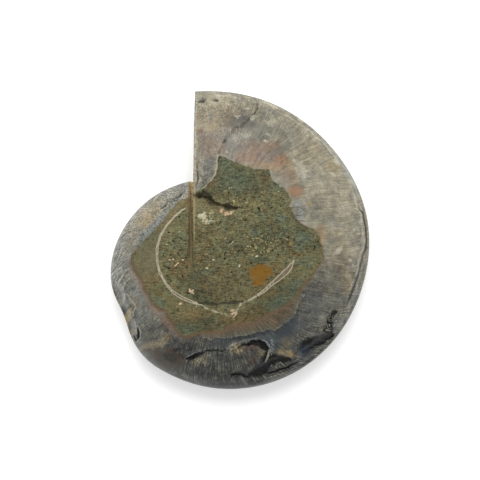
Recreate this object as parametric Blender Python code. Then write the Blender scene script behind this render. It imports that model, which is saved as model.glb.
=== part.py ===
"""A sawn and ground ammonite, lying on its flat ground side, as one solid of stone.

The shell is one coil whose keel follows a logarithmic spiral. A vertical saw cut ends the coil
as a straight mouth, and the blade has run on past it, into the whorl beneath, as a narrow kerf.
The upper face is ground flat over its middle and falls away to the keel in a rounded flank. The
lower face is ground flat too, and the fossil rests on it.

The faces are laid out as a fan: straight columns run from the kerf's tip out to the keel, from
the mouth all the way round to the kerf's far lip, and rings cross them at shares of their length.
Lengths are in millimetres until the mesh is made, and angles run anticlockwise from +X.
"""

import math

import bmesh
import bpy
from mathutils import Vector, noise

# Driving dimensions, in millimetres
MM = 0.001
THICKNESS = 27.0
KEEL_HEIGHT = 13.5

# The coil, as seen from above: its middle, the keel's radius due east, and its growth per radian
COIL_MIDDLE = (-8.9, -9.2)
KEEL_RADIUS = 55.2
GROWTH = 0.118

# Where the keel stands proud of the even spiral, or short of it: (height, angle and width in degrees)
KEEL_SWELLS = (
    (-3.3, 110.0, 23.0),
    (1.1, 18.0, 16.0),
    (-0.4, -72.0, 20.0),
    (0.8, -126.0, 9.0),
    (-1.6, -152.0, 8.0),
    (0.8, -182.0, 16.0),
    (-0.5, -245.0, 14.0),
)

# The saw cut: the mouth's outer and inner corners, the kerf's far lip on the keel, and its tip
MOUTH_OUTER = (-16.2, 54.8)
MOUTH_INNER = (-17.2, 21.4)
KERF_FAR_LIP = (-18.7, 21.5)
KERF_TIP = (-17.5, -9.2)
BLADE_RADIUS = 60.0

# The flanks, as shares of the way from the coil's middle to the keel
FACE_EDGE = 0.50
FACE_POWER = 1.9
FACE_ROUNDNESS = 0.62
BASE_EDGE = 0.64
BASE_POWER = 1.9
BASE_ROUNDNESS = 0.66

# The hollow under the last whorl: the line of its ledge from the saw cut inwards, and its depth
LEDGE = ((-17.2, 17.0), (-11.4, 15.9), (-7.4, 12.9), (0.4, 11.8))
LEDGE_DEPTH = 2.6
LEDGE_LIP = 1.0
HOLLOW_RUN = (10.5, 3.0)
HOLLOW_TAPER = 0.6

# The step on the eastern flank where the outermost shell has spalled off the keel
SPALL_ANGLES = (-24.0, 32.0)
SPALL_SHARE = 0.955
SPALL_DEPTH = 0.9
SPALL_STEP = 0.02
SPALL_ENDS = 8.0

# Broken hollows in the flank: (start, end, half width, depth)
CHIPS = (
    ((-19.6, -43.0), (-7.4, -39.2), 1.5, 0.9),
    ((4.9, -36.6), (11.4, -40.4), 1.6, 0.9),
    ((5.5, -49.4), (17.6, -44.2), 2.8, 1.2),
    ((22.4, -44.2), (38.2, -32.0), 2.4, 1.1),
    ((-46.0, -19.5), (-41.6, -33.0), 2.6, 1.6),
)
CHIP_REACH = 1.5

# Gentle unevenness of the ground and weathered faces
WAVINESS = 0.35
WAVE_LENGTH = 17.0

# Shares of the way to the keel over which the unevenness and the relief fade
WAVES_FROM = 0.55
WAVES_GROW = 0.2
WAVES_SIDES = (1.0, 5.0)
BASE_FADE = 0.1
KEEL_FADE = 0.03

# Mesh density
COLUMNS = 104
INNER_RINGS = 15
OUTER_RINGS = 16
BASE_INNER_RINGS = 3
BASE_OUTER_RINGS = 7
KERF_STATIONS = 10

STONE_COLOUR = (0.20, 0.18, 0.14, 1.0)
STONE_ROUGHNESS = 0.45
SHARPEST_SMOOTH_EDGE = 40.0


def clear_scene():
    """Remove the objects that the scene starts with."""
    for item in list(bpy.data.objects):
        bpy.data.objects.remove(item, do_unlink=True)


def smooth(value):
    """0 below 0, 1 above 1, and an even curve between."""
    value = min(1.0, max(0.0, value))
    return value * value * (3.0 - 2.0 * value)


def between(start, end, share):
    """The point at a share of the way from start to end."""
    return (start[0] + (end[0] - start[0]) * share, start[1] + (end[1] - start[1]) * share)


def keel_radius(angle):
    """The keel's distance from the coil's middle at an angle in radians along the spiral."""
    swell = 0.0
    for height, middle, width in KEEL_SWELLS:
        swell += height * math.exp(-0.5 * ((math.degrees(angle) - middle) / width) ** 2)
    return KEEL_RADIUS * math.exp(GROWTH * angle) + swell


def bearing(point):
    """The angle of a point about the coil's middle, from -pi to pi."""
    return math.atan2(point[1] - COIL_MIDDLE[1], point[0] - COIL_MIDDLE[0])


def keel_point(angle):
    """The point of the keel at an angle along the spiral."""
    radius = keel_radius(angle)
    return (
        COIL_MIDDLE[0] + radius * math.cos(angle),
        COIL_MIDDLE[1] + radius * math.sin(angle),
    )


def keel_share(point, column_angle):
    """How far out a point lies, from 0 in the coil's middle to 1 on the keel of its own whorl."""
    angle = bearing(point)
    turns = round((angle - column_angle) / (2.0 * math.pi))
    return math.dist(point, COIL_MIDDLE) / keel_radius(angle - turns * 2.0 * math.pi)


def flank(share, edge, power, roundness):
    """1 over the ground middle, falling to 0 at the keel."""
    fall = min(1.0, max(0.0, (share - edge) / (1.0 - edge)))
    return (1.0 - fall**power) ** roundness


def hollow_depth(point):
    """Depth of the hollow under the last whorl: sheer below its ledge, and a slope back up."""
    first, last = LEDGE[0][0], LEDGE[-1][0]
    along = (point[0] - first) / (last - first)
    if not 0.0 <= along <= 1.0:
        return 0.0
    ledge = LEDGE[-1][1]
    for start, end in zip(LEDGE, LEDGE[1:]):
        if start[0] <= point[0] <= end[0]:
            ledge = between(start, end, (point[0] - start[0]) / (end[0] - start[0]))[1]
    below = ledge - point[1]
    run = HOLLOW_RUN[0] + (HOLLOW_RUN[1] - HOLLOW_RUN[0]) * along
    rise = smooth((below - LEDGE_LIP) / (run - LEDGE_LIP))
    drop = smooth(below / LEDGE_LIP) * (1.0 - rise)
    return LEDGE_DEPTH * (1.0 - along) ** HOLLOW_TAPER * drop


def chip_depth(point):
    """Depth of the broken hollows: each is deepest along its own line."""
    depth = 0.0
    for start, end, half_width, deepest in CHIPS:
        length = math.dist(start, end)
        along = (point[0] - start[0]) * (end[0] - start[0])
        along += (point[1] - start[1]) * (end[1] - start[1])
        nearest = between(start, end, min(1.0, max(0.0, along / length**2)))
        depth = max(depth, deepest * smooth(CHIP_REACH - math.dist(point, nearest) / half_width))
    return depth


def spall_depth(share, angle):
    """Drop of the keel strip that has lost its outermost shell."""
    degrees = math.degrees(angle)
    first, last = SPALL_ANGLES
    if not first < degrees < last:
        return 0.0
    ends = smooth((degrees - first) / SPALL_ENDS) * smooth((last - degrees) / SPALL_ENDS)
    return SPALL_DEPTH * ends * smooth(0.5 + (share - SPALL_SHARE) / SPALL_STEP)


def waviness(point, side):
    """Slow rise and fall of a face."""
    place = Vector((point[0] / WAVE_LENGTH, point[1] / WAVE_LENGTH, side))
    return WAVINESS * noise.noise(place)


def face_height(point, column_angle):
    """Height of the upper face."""
    share = keel_share(point, column_angle)
    crown = flank(share, FACE_EDGE, FACE_POWER, FACE_ROUNDNESS)
    height = KEEL_HEIGHT + (THICKNESS - KEEL_HEIGHT) * crown
    relief = chip_depth(point) + spall_depth(share, column_angle)
    if point[0] > KERF_TIP[0]:
        relief += hollow_depth(point)
    slow = waviness(point, WAVES_SIDES[0]) * smooth((share - WAVES_FROM) / WAVES_GROW)
    return height + (slow - relief) * smooth((1.0 - share) / KEEL_FADE)


def base_height(point, column_angle):
    """Height of the lower face: level with the ground over its middle."""
    share = keel_share(point, column_angle)
    crown = flank(share, BASE_EDGE, BASE_POWER, BASE_ROUNDNESS)
    if crown >= 1.0:
        return 0.0
    slow = abs(waviness(point, WAVES_SIDES[1])) * smooth((1.0 - share) / BASE_FADE)
    return KEEL_HEIGHT * (1.0 - crown) + slow * smooth((share - BASE_EDGE) / BASE_FADE)


def kerf_floor_height(share):
    """Height of the kerf's floor, cut by the edge of a round blade, from tip 0 to keel 1."""
    run = KERF_TIP[1] - MOUTH_INNER[1]
    rise = THICKNESS - KEEL_HEIGHT
    chord = math.hypot(run, rise)
    reach = math.sqrt(BLADE_RADIUS**2 - (chord / 2.0) ** 2)
    axle_y = (KERF_TIP[1] + MOUTH_INNER[1]) / 2.0 + reach * rise / chord
    axle_z = (THICKNESS + KEEL_HEIGHT) / 2.0 - reach * run / chord
    y = between(KERF_TIP, MOUTH_INNER, share)[1]
    return axle_z - math.sqrt(BLADE_RADIUS**2 - (y - axle_y) ** 2)


def ring_shares(inner, outer):
    """Shares of a column's length for its rings, with one ring through the mouth's inner corner."""
    within = math.dist(KERF_TIP, MOUTH_INNER)
    corner = within / (within + math.dist(MOUTH_INNER, MOUTH_OUTER))
    shares = [corner * (ring + 1) / inner for ring in range(inner)]
    for ring in range(outer):
        shares.append(corner + (1.0 - corner) * math.sin(math.pi / 2.0 * (ring + 1) / outer))
    return shares


def column_point(column, share, angles):
    """A point of a column. The first column runs along the saw cut, past the mouth's inner corner."""
    if column > 0:
        return between(KERF_TIP, keel_point(angles[column]), share)
    within = math.dist(KERF_TIP, MOUTH_INNER)
    beyond = math.dist(MOUTH_INNER, MOUTH_OUTER)
    travelled = share * (within + beyond)
    if travelled <= within:
        return between(KERF_TIP, MOUTH_INNER, travelled / within)
    return between(MOUTH_INNER, MOUTH_OUTER, (travelled - within) / beyond)


def add_point(mesh, point, height):
    """A vertex of the solid, in metres."""
    return mesh.verts.new((point[0] * MM, point[1] * MM, height * MM))


def add_columns(mesh, hub, shares, height_of, angles):
    """Each column's vertices from the hub outwards, at the heights of one face."""
    columns = []
    for column, angle in enumerate(angles):
        vertices = [hub]
        for share in shares:
            point = column_point(column, share, angles)
            vertices.append(add_point(mesh, point, height_of(point, angle)))
        columns.append(vertices)
    return columns


def fill_fan(mesh, columns):
    """The faces between neighbouring columns."""
    for column, following in zip(columns, columns[1:]):
        mesh.faces.new((column[0], column[1], following[1]))
        for ring in range(1, len(column) - 1):
            mesh.faces.new(
                (column[ring], column[ring + 1], following[ring + 1], following[ring])
            )


def fill_between(mesh, first, second):
    """Triangles between two lines of vertices that start at the same vertex."""
    one, two = 1, 1
    mesh.faces.new((first[0], first[1], second[1]))
    while one < len(first) - 1 or two < len(second) - 1:
        ahead = two == len(second) - 1
        if one < len(first) - 1 and two < len(second) - 1:
            ahead = first[one + 1].co.y < second[two + 1].co.y
        if ahead:
            mesh.faces.new((first[one], first[one + 1], second[two]))
            one += 1
        else:
            mesh.faces.new((first[one], second[two + 1], second[two]))
            two += 1


def fill_kerf(mesh, near_lip, far_lip):
    """The kerf's two walls and its floor. It returns the floor's outer corner by the mouth."""
    near_floor, far_floor = [near_lip[0]], [far_lip[0]]
    for station in range(1, KERF_STATIONS + 1):
        share = station / KERF_STATIONS
        height = kerf_floor_height(share)
        near = between(KERF_TIP, MOUTH_INNER, share)
        near_floor.append(add_point(mesh, near, height))
        if station < KERF_STATIONS:
            far = between(KERF_TIP, KERF_FAR_LIP, share)
            far_floor.append(add_point(mesh, far, height))
    far_floor.append(far_lip[-1])
    mesh.faces.new(near_lip + near_floor[:0:-1])
    mesh.faces.new(far_lip + far_floor[-2:0:-1])
    mesh.faces.new((near_floor[0], near_floor[1], far_floor[1]))
    for station in range(1, KERF_STATIONS):
        mesh.faces.new(
            (
                near_floor[station],
                near_floor[station + 1],
                far_floor[station + 1],
                far_floor[station],
            )
        )
    return near_floor[-1]


def fill_solid(mesh):
    """All the faces of the fossil."""
    last_angle = bearing(KERF_FAR_LIP) - 2.0 * math.pi
    first_angle = bearing(MOUTH_OUTER)
    angles = [
        first_angle + (last_angle - first_angle) * column / COLUMNS
        for column in range(COLUMNS + 1)
    ]
    face_hub = add_point(mesh, KERF_TIP, THICKNESS)
    base_hub = add_point(mesh, KERF_TIP, 0.0)
    face = add_columns(mesh, face_hub, ring_shares(INNER_RINGS, OUTER_RINGS), face_height, angles)
    base_shares = ring_shares(BASE_INNER_RINGS, BASE_OUTER_RINGS)
    base = add_columns(mesh, base_hub, base_shares[:-1], base_height, angles)
    for upper, lower in zip(face, base):
        lower.append(upper[-1])
    fill_fan(mesh, face)
    fill_fan(mesh, base)
    corner = fill_kerf(mesh, face[0][: INNER_RINGS + 1], face[-1])
    base_near, base_far = base[0][: BASE_INNER_RINGS + 1], base[-1]
    fill_between(mesh, base_near, base_far)
    mesh.faces.new((base_near[-1], corner, base_far[-1]))
    mouth_top = face[0][INNER_RINGS:]
    mouth_foot = base[0][BASE_INNER_RINGS:-1]
    mesh.faces.new(mouth_top + mouth_foot[::-1] + [corner])
    bmesh.ops.recalc_face_normals(mesh, faces=mesh.faces)


def centre_over_origin(mesh):
    """Put the middle of the fossil's outline over the origin."""
    for axis in (0, 1):
        places = [vertex.co[axis] for vertex in mesh.verts]
        middle = (min(places) + max(places)) / 2.0
        for vertex in mesh.verts:
            vertex.co[axis] -= middle


def make_stone():
    """The fossil's olive, grey and brown stone, as one mean colour."""
    stone = bpy.data.materials.new("fossil_stone")
    stone.use_nodes = True
    shader = stone.node_tree.nodes["Principled BSDF"]
    shader.inputs["Base Color"].default_value = STONE_COLOUR
    shader.inputs["Roughness"].default_value = STONE_ROUGHNESS
    shader.inputs["Metallic"].default_value = 0.0
    return stone


def make_ammonite():
    """The fossil as one named object."""
    mesh = bmesh.new()
    fill_solid(mesh)
    centre_over_origin(mesh)
    data = bpy.data.meshes.new("ammonite")
    mesh.to_mesh(data)
    mesh.free()
    data.materials.append(make_stone())
    data.shade_smooth()
    data.set_sharp_from_angle(angle=math.radians(SHARPEST_SMOOTH_EDGE))
    ammonite = bpy.data.objects.new("ammonite", data)
    bpy.context.scene.collection.objects.link(ammonite)
    return ammonite


clear_scene()
make_ammonite()
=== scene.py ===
"""The dressed ammonite: a sawn and ground fossil on a pale table, seen from straight above.

The fossil is one mesh. Its shape repeats the driving sizes of the part's own source at a finer
grain, and each vertex also carries what the finishes need to know about its place: how far round
the coil it lies, how near the keel, how deep inside the sandstone, and so on. The finishes turn
that into nacre, sandstone, calcite and ochre with procedural nodes, and paint in some highlights
and shadows too.

Lengths are in millimetres until the mesh is made, and angles run anticlockwise from +X.
"""

from __future__ import annotations

import logging
import math
from dataclasses import dataclass, field
from enum import Enum
from typing import Sequence, Union

import bmesh
import bpy
import numpy as np
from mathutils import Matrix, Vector, noise


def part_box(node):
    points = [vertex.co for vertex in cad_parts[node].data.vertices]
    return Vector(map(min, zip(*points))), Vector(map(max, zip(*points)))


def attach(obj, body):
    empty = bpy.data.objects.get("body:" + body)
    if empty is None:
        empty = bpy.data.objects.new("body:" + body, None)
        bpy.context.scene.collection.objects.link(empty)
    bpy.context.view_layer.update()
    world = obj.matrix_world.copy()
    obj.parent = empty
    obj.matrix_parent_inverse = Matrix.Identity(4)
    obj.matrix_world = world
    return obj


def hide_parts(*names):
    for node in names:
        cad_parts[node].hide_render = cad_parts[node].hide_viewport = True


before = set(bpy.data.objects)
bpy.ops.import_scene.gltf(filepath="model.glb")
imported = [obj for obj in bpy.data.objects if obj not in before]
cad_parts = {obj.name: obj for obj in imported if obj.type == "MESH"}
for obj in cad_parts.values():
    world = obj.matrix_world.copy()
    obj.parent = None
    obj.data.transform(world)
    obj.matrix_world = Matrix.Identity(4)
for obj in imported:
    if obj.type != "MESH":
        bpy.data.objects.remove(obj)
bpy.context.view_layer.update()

LOG = logging.getLogger("ammonite")
Array = np.ndarray
Point = tuple[float, float]
Colour = tuple[float, float, float]
Line = tuple[Point, ...]

MM = 0.001
TURN = 2.0 * math.pi
NODE = "ammonite"
BODY = "root"
FAR_OUTSIDE = -9.0
NOISE_FALL = 0.8
NOISE_FINER = 2.1
COAT_ROUGHNESS = 0.25


def smooth(value: Array) -> Array:
    """0 below 0, 1 above 1, and an even curve between."""
    value = np.clip(value, 0.0, 1.0)
    return value * value * (3.0 - 2.0 * value)


def between(start: Point, end: Point, share: Array) -> tuple[Array, Array]:
    """The points at some shares of the way from start to end."""
    return (start[0] + (end[0] - start[0]) * share, start[1] + (end[1] - start[1]) * share)


class Pattern(Enum):
    """Which pattern of noise a form follows."""

    FACE = 1.0
    BASE = 5.0
    LEDGE = 9.0
    RAGGED_X = 21.0
    RAGGED_Y = 22.0
    SPALL = 23.0
    STONE = 31.0
    SHELL = 33.0


def ripple(x: Array, y: Array, size: float, pattern: Pattern, octaves: int = 1) -> Array:
    """Smooth noise over the plan.

    Args:
        x: Places along X, in millimetres.
        y: Places along Y, in millimetres.
        size: The length of one wave, in millimetres.
        pattern: Which pattern it follows.
        octaves: How many finer waves are added.

    Returns:
        Values from about -1 to 1.
    """
    values = np.empty(x.shape)
    flat = values.reshape(-1)
    for index, (px, py) in enumerate(zip(x.reshape(-1) / size, y.reshape(-1) / size)):
        place = Vector((px, py, pattern.value))
        if octaves == 1:
            flat[index] = noise.noise(place)
        else:
            flat[index] = noise.fractal(place, NOISE_FALL, NOISE_FINER, octaves)
    return values


def off_line(start: Point, end: Point, x: Array, y: Array) -> tuple[Array, Array]:
    """How far some points lie off a straight line, and how far along it, from 0 to 1."""
    run = (end[0] - start[0], end[1] - start[1])
    share = ((x - start[0]) * run[0] + (y - start[1]) * run[1]) / (run[0] ** 2 + run[1] ** 2)
    share = np.clip(share, 0.0, 1.0)
    return np.hypot(x - start[0] - run[0] * share, y - start[1] - run[1] * share), share


@dataclass(frozen=True)
class PhotoPlan:
    """Turns the photograph's pixels into millimetres on the part."""

    middle: Point = (240.0, 240.0)
    length_px: float = 298.0
    length_mm: float = 110.0
    eye_mm: float = 900.0
    level_mm: float = 13.5

    @property
    def mm(self) -> float:
        """Millimetres to a pixel."""
        return self.length_mm / self.length_px

    def place(self, pixel: Point) -> Point:
        """The place on the part that a pixel shows."""
        return ((pixel[0] - self.middle[0]) * self.mm, (self.middle[1] - pixel[1]) * self.mm)

    def seen(self, x: Array, y: Array, z: Array) -> tuple[Array, Array]:
        """Where points at some heights seem to lie on the keel's level, from the camera."""
        scale = (self.eye_mm - self.level_mm) / (self.eye_mm - z)
        return x * scale, y * scale


PLAN = PhotoPlan()


@dataclass(frozen=True)
class Coil:
    """The shell's one coil, seen from above: its keel follows a logarithmic spiral."""

    middle: Point = (-8.9, -9.2)
    east_radius: float = 55.2
    growth: float = 0.118
    swells: tuple[tuple[float, float, float], ...] = (
        (-3.3, 110.0, 23.0),
        (1.1, 18.0, 16.0),
        (-0.4, -72.0, 20.0),
        (0.8, -126.0, 9.0),
        (-1.6, -152.0, 8.0),
        (0.8, -182.0, 16.0),
        (-0.5, -245.0, 14.0),
    )

    def keel_radius(self, angle: Array) -> Array:
        """The keel's distance from the coil's middle at angles along the spiral."""
        swell = sum(
            height * np.exp(-0.5 * ((np.degrees(angle) - middle) / width) ** 2)
            for height, middle, width in self.swells
        )
        return self.east_radius * np.exp(self.growth * angle) + swell

    def keel_point(self, angle: Array) -> tuple[Array, Array]:
        """The keel's points at angles along the spiral."""
        radius = self.keel_radius(angle)
        return (
            self.middle[0] + radius * np.cos(angle),
            self.middle[1] + radius * np.sin(angle),
        )

    def bearing(self, x: Array, y: Array) -> Array:
        """The angles of some points about the coil's middle, from -pi to pi."""
        return np.arctan2(y - self.middle[1], x - self.middle[0])

    def along(self, x: Array, y: Array, column_angle: Array) -> Array:
        """The angles of some points, counted along the spiral like their columns' angles."""
        angle = self.bearing(x, y)
        return angle - TURN * np.round((angle - column_angle) / TURN)

    def keel_share(self, x: Array, y: Array, angle: Array) -> Array:
        """How far out some points lie, from 0 in the coil's middle to 1 on their whorl's keel."""
        return np.hypot(x - self.middle[0], y - self.middle[1]) / self.keel_radius(angle)


@dataclass(frozen=True)
class SawCut:
    """The straight mouth, and the kerf that the round blade left beyond it."""

    mouth_outer: Point = (-16.8, 54.8)
    mouth_inner: Point = (-17.2, 21.4)
    kerf_far_lip: Point = (-18.7, 21.5)
    kerf_tip: Point = (-17.5, -9.2)
    blade_radius: float = 60.0

    @property
    def kerf_length(self) -> float:
        """From the kerf's tip to the mouth's inner corner."""
        return math.dist(self.kerf_tip, self.mouth_inner)

    @property
    def corner_share(self) -> float:
        """Where the mouth's inner corner lies on the first column."""
        return self.kerf_length / (self.kerf_length + math.dist(self.mouth_inner, self.mouth_outer))

    def near_side(self, share: Array) -> tuple[Array, Array]:
        """The first column's points: along the kerf's near lip, then along the mouth."""
        corner = self.corner_share
        kerf = between(self.kerf_tip, self.mouth_inner, share / corner)
        mouth = between(self.mouth_inner, self.mouth_outer, (share - corner) / (1.0 - corner))
        within = share <= corner
        return np.where(within, kerf[0], mouth[0]), np.where(within, kerf[1], mouth[1])

    def floor_height(self, share: Array, thickness: float, keel_height: float) -> Array:
        """Heights of the kerf's floor, which the edge of a round blade has cut.

        Args:
            share: How far from the kerf's tip, 0, to the keel, 1.
            thickness: The fossil's thickness, in millimetres.
            keel_height: How high its keel lies.

        Returns:
            The heights, in millimetres.
        """
        run = self.kerf_tip[1] - self.mouth_inner[1]
        rise = thickness - keel_height
        chord = math.hypot(run, rise)
        reach = math.sqrt(self.blade_radius**2 - (chord / 2.0) ** 2)
        axle_y = (self.kerf_tip[1] + self.mouth_inner[1]) / 2.0 + reach * rise / chord
        axle_z = (thickness + keel_height) / 2.0 - reach * run / chord
        y = between(self.kerf_tip, self.mouth_inner, share)[1]
        return axle_z - np.sqrt(self.blade_radius**2 - (y - axle_y) ** 2)


@dataclass(frozen=True)
class Flank:
    """How one face falls from its ground middle to the keel."""

    edge: float
    power: float
    roundness: float

    def crown(self, share: Array) -> Array:
        """1 over the ground middle, falling to 0 at the keel."""
        fall = np.clip((share - self.edge) / (1.0 - self.edge), 0.0, 1.0)
        return (1.0 - fall**self.power) ** self.roundness


@dataclass(frozen=True)
class Chip:
    """A broken hollow in the flank, deepest along its own line."""

    start: Point
    end: Point
    half_width: float
    depth: float
    reach: float = 1.5

    def sink(self, x: Array, y: Array) -> Array:
        """Depths of the hollow at some points."""
        distance, _ = off_line(self.start, self.end, x, y)
        return self.depth * smooth(self.reach - distance / self.half_width)


@dataclass(frozen=True)
class Hollow:
    """The pit under the last whorl: sheer below its ledge, and a slope back up."""

    ledge: Line = ((-17.2, 17.0), (-11.4, 15.9), (-7.4, 12.9), (0.4, 11.8))
    depth: float = 2.6
    lip: float = 1.0
    runs: tuple[float, float] = (10.5, 3.0)
    taper: float = 0.6
    sheer: float = 0.6
    slack: float = 0.02
    raggedness: float = 0.5
    rag_length: float = 2.2

    def below(self, x: Array, y: Array) -> Array:
        """How far south of the ledge some points lie."""
        ragged = self.raggedness * ripple(x, y, self.rag_length, Pattern.LEDGE)
        return np.interp(x, *zip(*self.ledge)) + ragged - y

    def along(self, x: Array) -> Array:
        """How far along the ledge some points lie, from the saw cut 0 to its inner end 1."""
        return (x - self.ledge[0][0]) / (self.ledge[-1][0] - self.ledge[0][0])

    def sink(self, x: Array, y: Array) -> Array:
        """Depths of the pit at some points.

        Args:
            x: The points' places along X, in millimetres.
            y: Their places along Y.

        Returns:
            The depths, in millimetres.
        """
        along = self.along(x)
        inside = (along >= -self.slack) & (along <= 1.0)
        along = np.clip(along, 0.0, 1.0)
        below = self.below(x, y)
        run = self.runs[0] + (self.runs[1] - self.runs[0]) * along
        drop = smooth(below / (self.sheer * self.lip))
        drop = drop * (1.0 - smooth((below - self.lip) / (run - self.lip)))
        return np.where(inside, self.depth * (1.0 - along) ** self.taper * drop, 0.0)


@dataclass(frozen=True)
class Spall:
    """The step on the eastern flank where the outermost shell has come off the keel."""

    angles: tuple[float, float] = (-24.0, 32.0)
    share: float = 0.955
    depth: float = 0.9
    step: float = 0.02
    ends: float = 8.0
    raggedness: float = 0.012
    rag_length: float = 2.4

    def amount(self, share: Array, angle: Array) -> Array:
        """1 on the bared strip and 0 off it."""
        degrees = np.degrees(angle)
        ends = smooth((degrees - self.angles[0]) / self.ends)
        ends = ends * smooth((self.angles[1] - degrees) / self.ends)
        return ends * smooth(0.5 + (share - self.share) / self.step)


@dataclass(frozen=True)
class Outline:
    """A closed line on the upper face, by the photograph's pixels."""

    pixels: Line

    def depth(self, x: Array, y: Array) -> Array:
        """How far inside the line some points lie.

        Args:
            x: The points' places along X, in millimetres.
            y: Their places along Y.

        Returns:
            The distances, in millimetres: negative outside.
        """
        corners = np.array([PLAN.place(pixel) for pixel in self.pixels])
        nearest = np.full(x.shape, np.inf)
        inside = np.zeros(x.shape, bool)
        for start, end in zip(corners, np.roll(corners, -1, axis=0)):
            nearest = np.minimum(nearest, off_line(start, end, x, y)[0])
            if start[1] != end[1]:
                crossing = start[0] + (end[0] - start[0]) * (y - start[1]) / (end[1] - start[1])
                inside ^= ((start[1] > y) != (end[1] > y)) & (x < crossing)
        return np.where(inside, nearest, -nearest)


@dataclass(frozen=True)
class Ribbon:
    """An open line on the upper face, by the photograph's pixels, with its width at each point."""

    pixels: tuple[tuple[float, float, float], ...]

    def depth(self, x: Array, y: Array) -> Array:
        """How far inside the ribbon's edge some points lie, in millimetres: negative outside."""
        best = np.full(x.shape, -np.inf)
        for (x0, y0, width0), (x1, y1, width1) in zip(self.pixels, self.pixels[1:]):
            distance, share = off_line(PLAN.place((x0, y0)), PLAN.place((x1, y1)), x, y)
            half = 0.5 * PLAN.mm * (width0 + (width1 - width0) * share)
            best = np.maximum(best, half - distance)
        return best


@dataclass(frozen=True)
class Patch:
    """A soft oval of colour on the upper face, by the photograph's pixels."""

    pixel: Point
    radii: Point
    strength: float
    turn: float = 0.0
    reach: float = 1.5

    def amount(self, x: Array, y: Array) -> Array:
        """The patch's strength at some points."""
        middle = PLAN.place(self.pixel)
        turn = math.radians(self.turn)
        dx, dy = x - middle[0], y - middle[1]
        along = (dx * math.cos(turn) + dy * math.sin(turn)) / (self.radii[0] * PLAN.mm)
        across = (dy * math.cos(turn) - dx * math.sin(turn)) / (self.radii[1] * PLAN.mm)
        return self.strength * smooth(self.reach - np.hypot(along, across))


Patches = tuple[Patch, ...]


def ovals(*rows: tuple[float, ...]) -> Patches:
    """Patches: each row is a middle's X and Y, two radii, a strength and a turn in degrees."""
    return tuple(Patch((row[0], row[1]), (row[2], row[3]), *row[4:]) for row in rows)


def strongest(patches: Patches, x: Array, y: Array) -> Array:
    """The strongest of some patches at each point."""
    best = np.zeros(x.shape)
    for patch in patches:
        best = np.maximum(best, patch.amount(x, y))
    return best


def deepest(marks: Sequence[Union[Outline, Ribbon]], x: Array, y: Array) -> Array:
    """How far inside the nearest of some marks each point lies, in millimetres."""
    return np.max([mark.depth(x, y) for mark in marks], axis=0)


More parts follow.
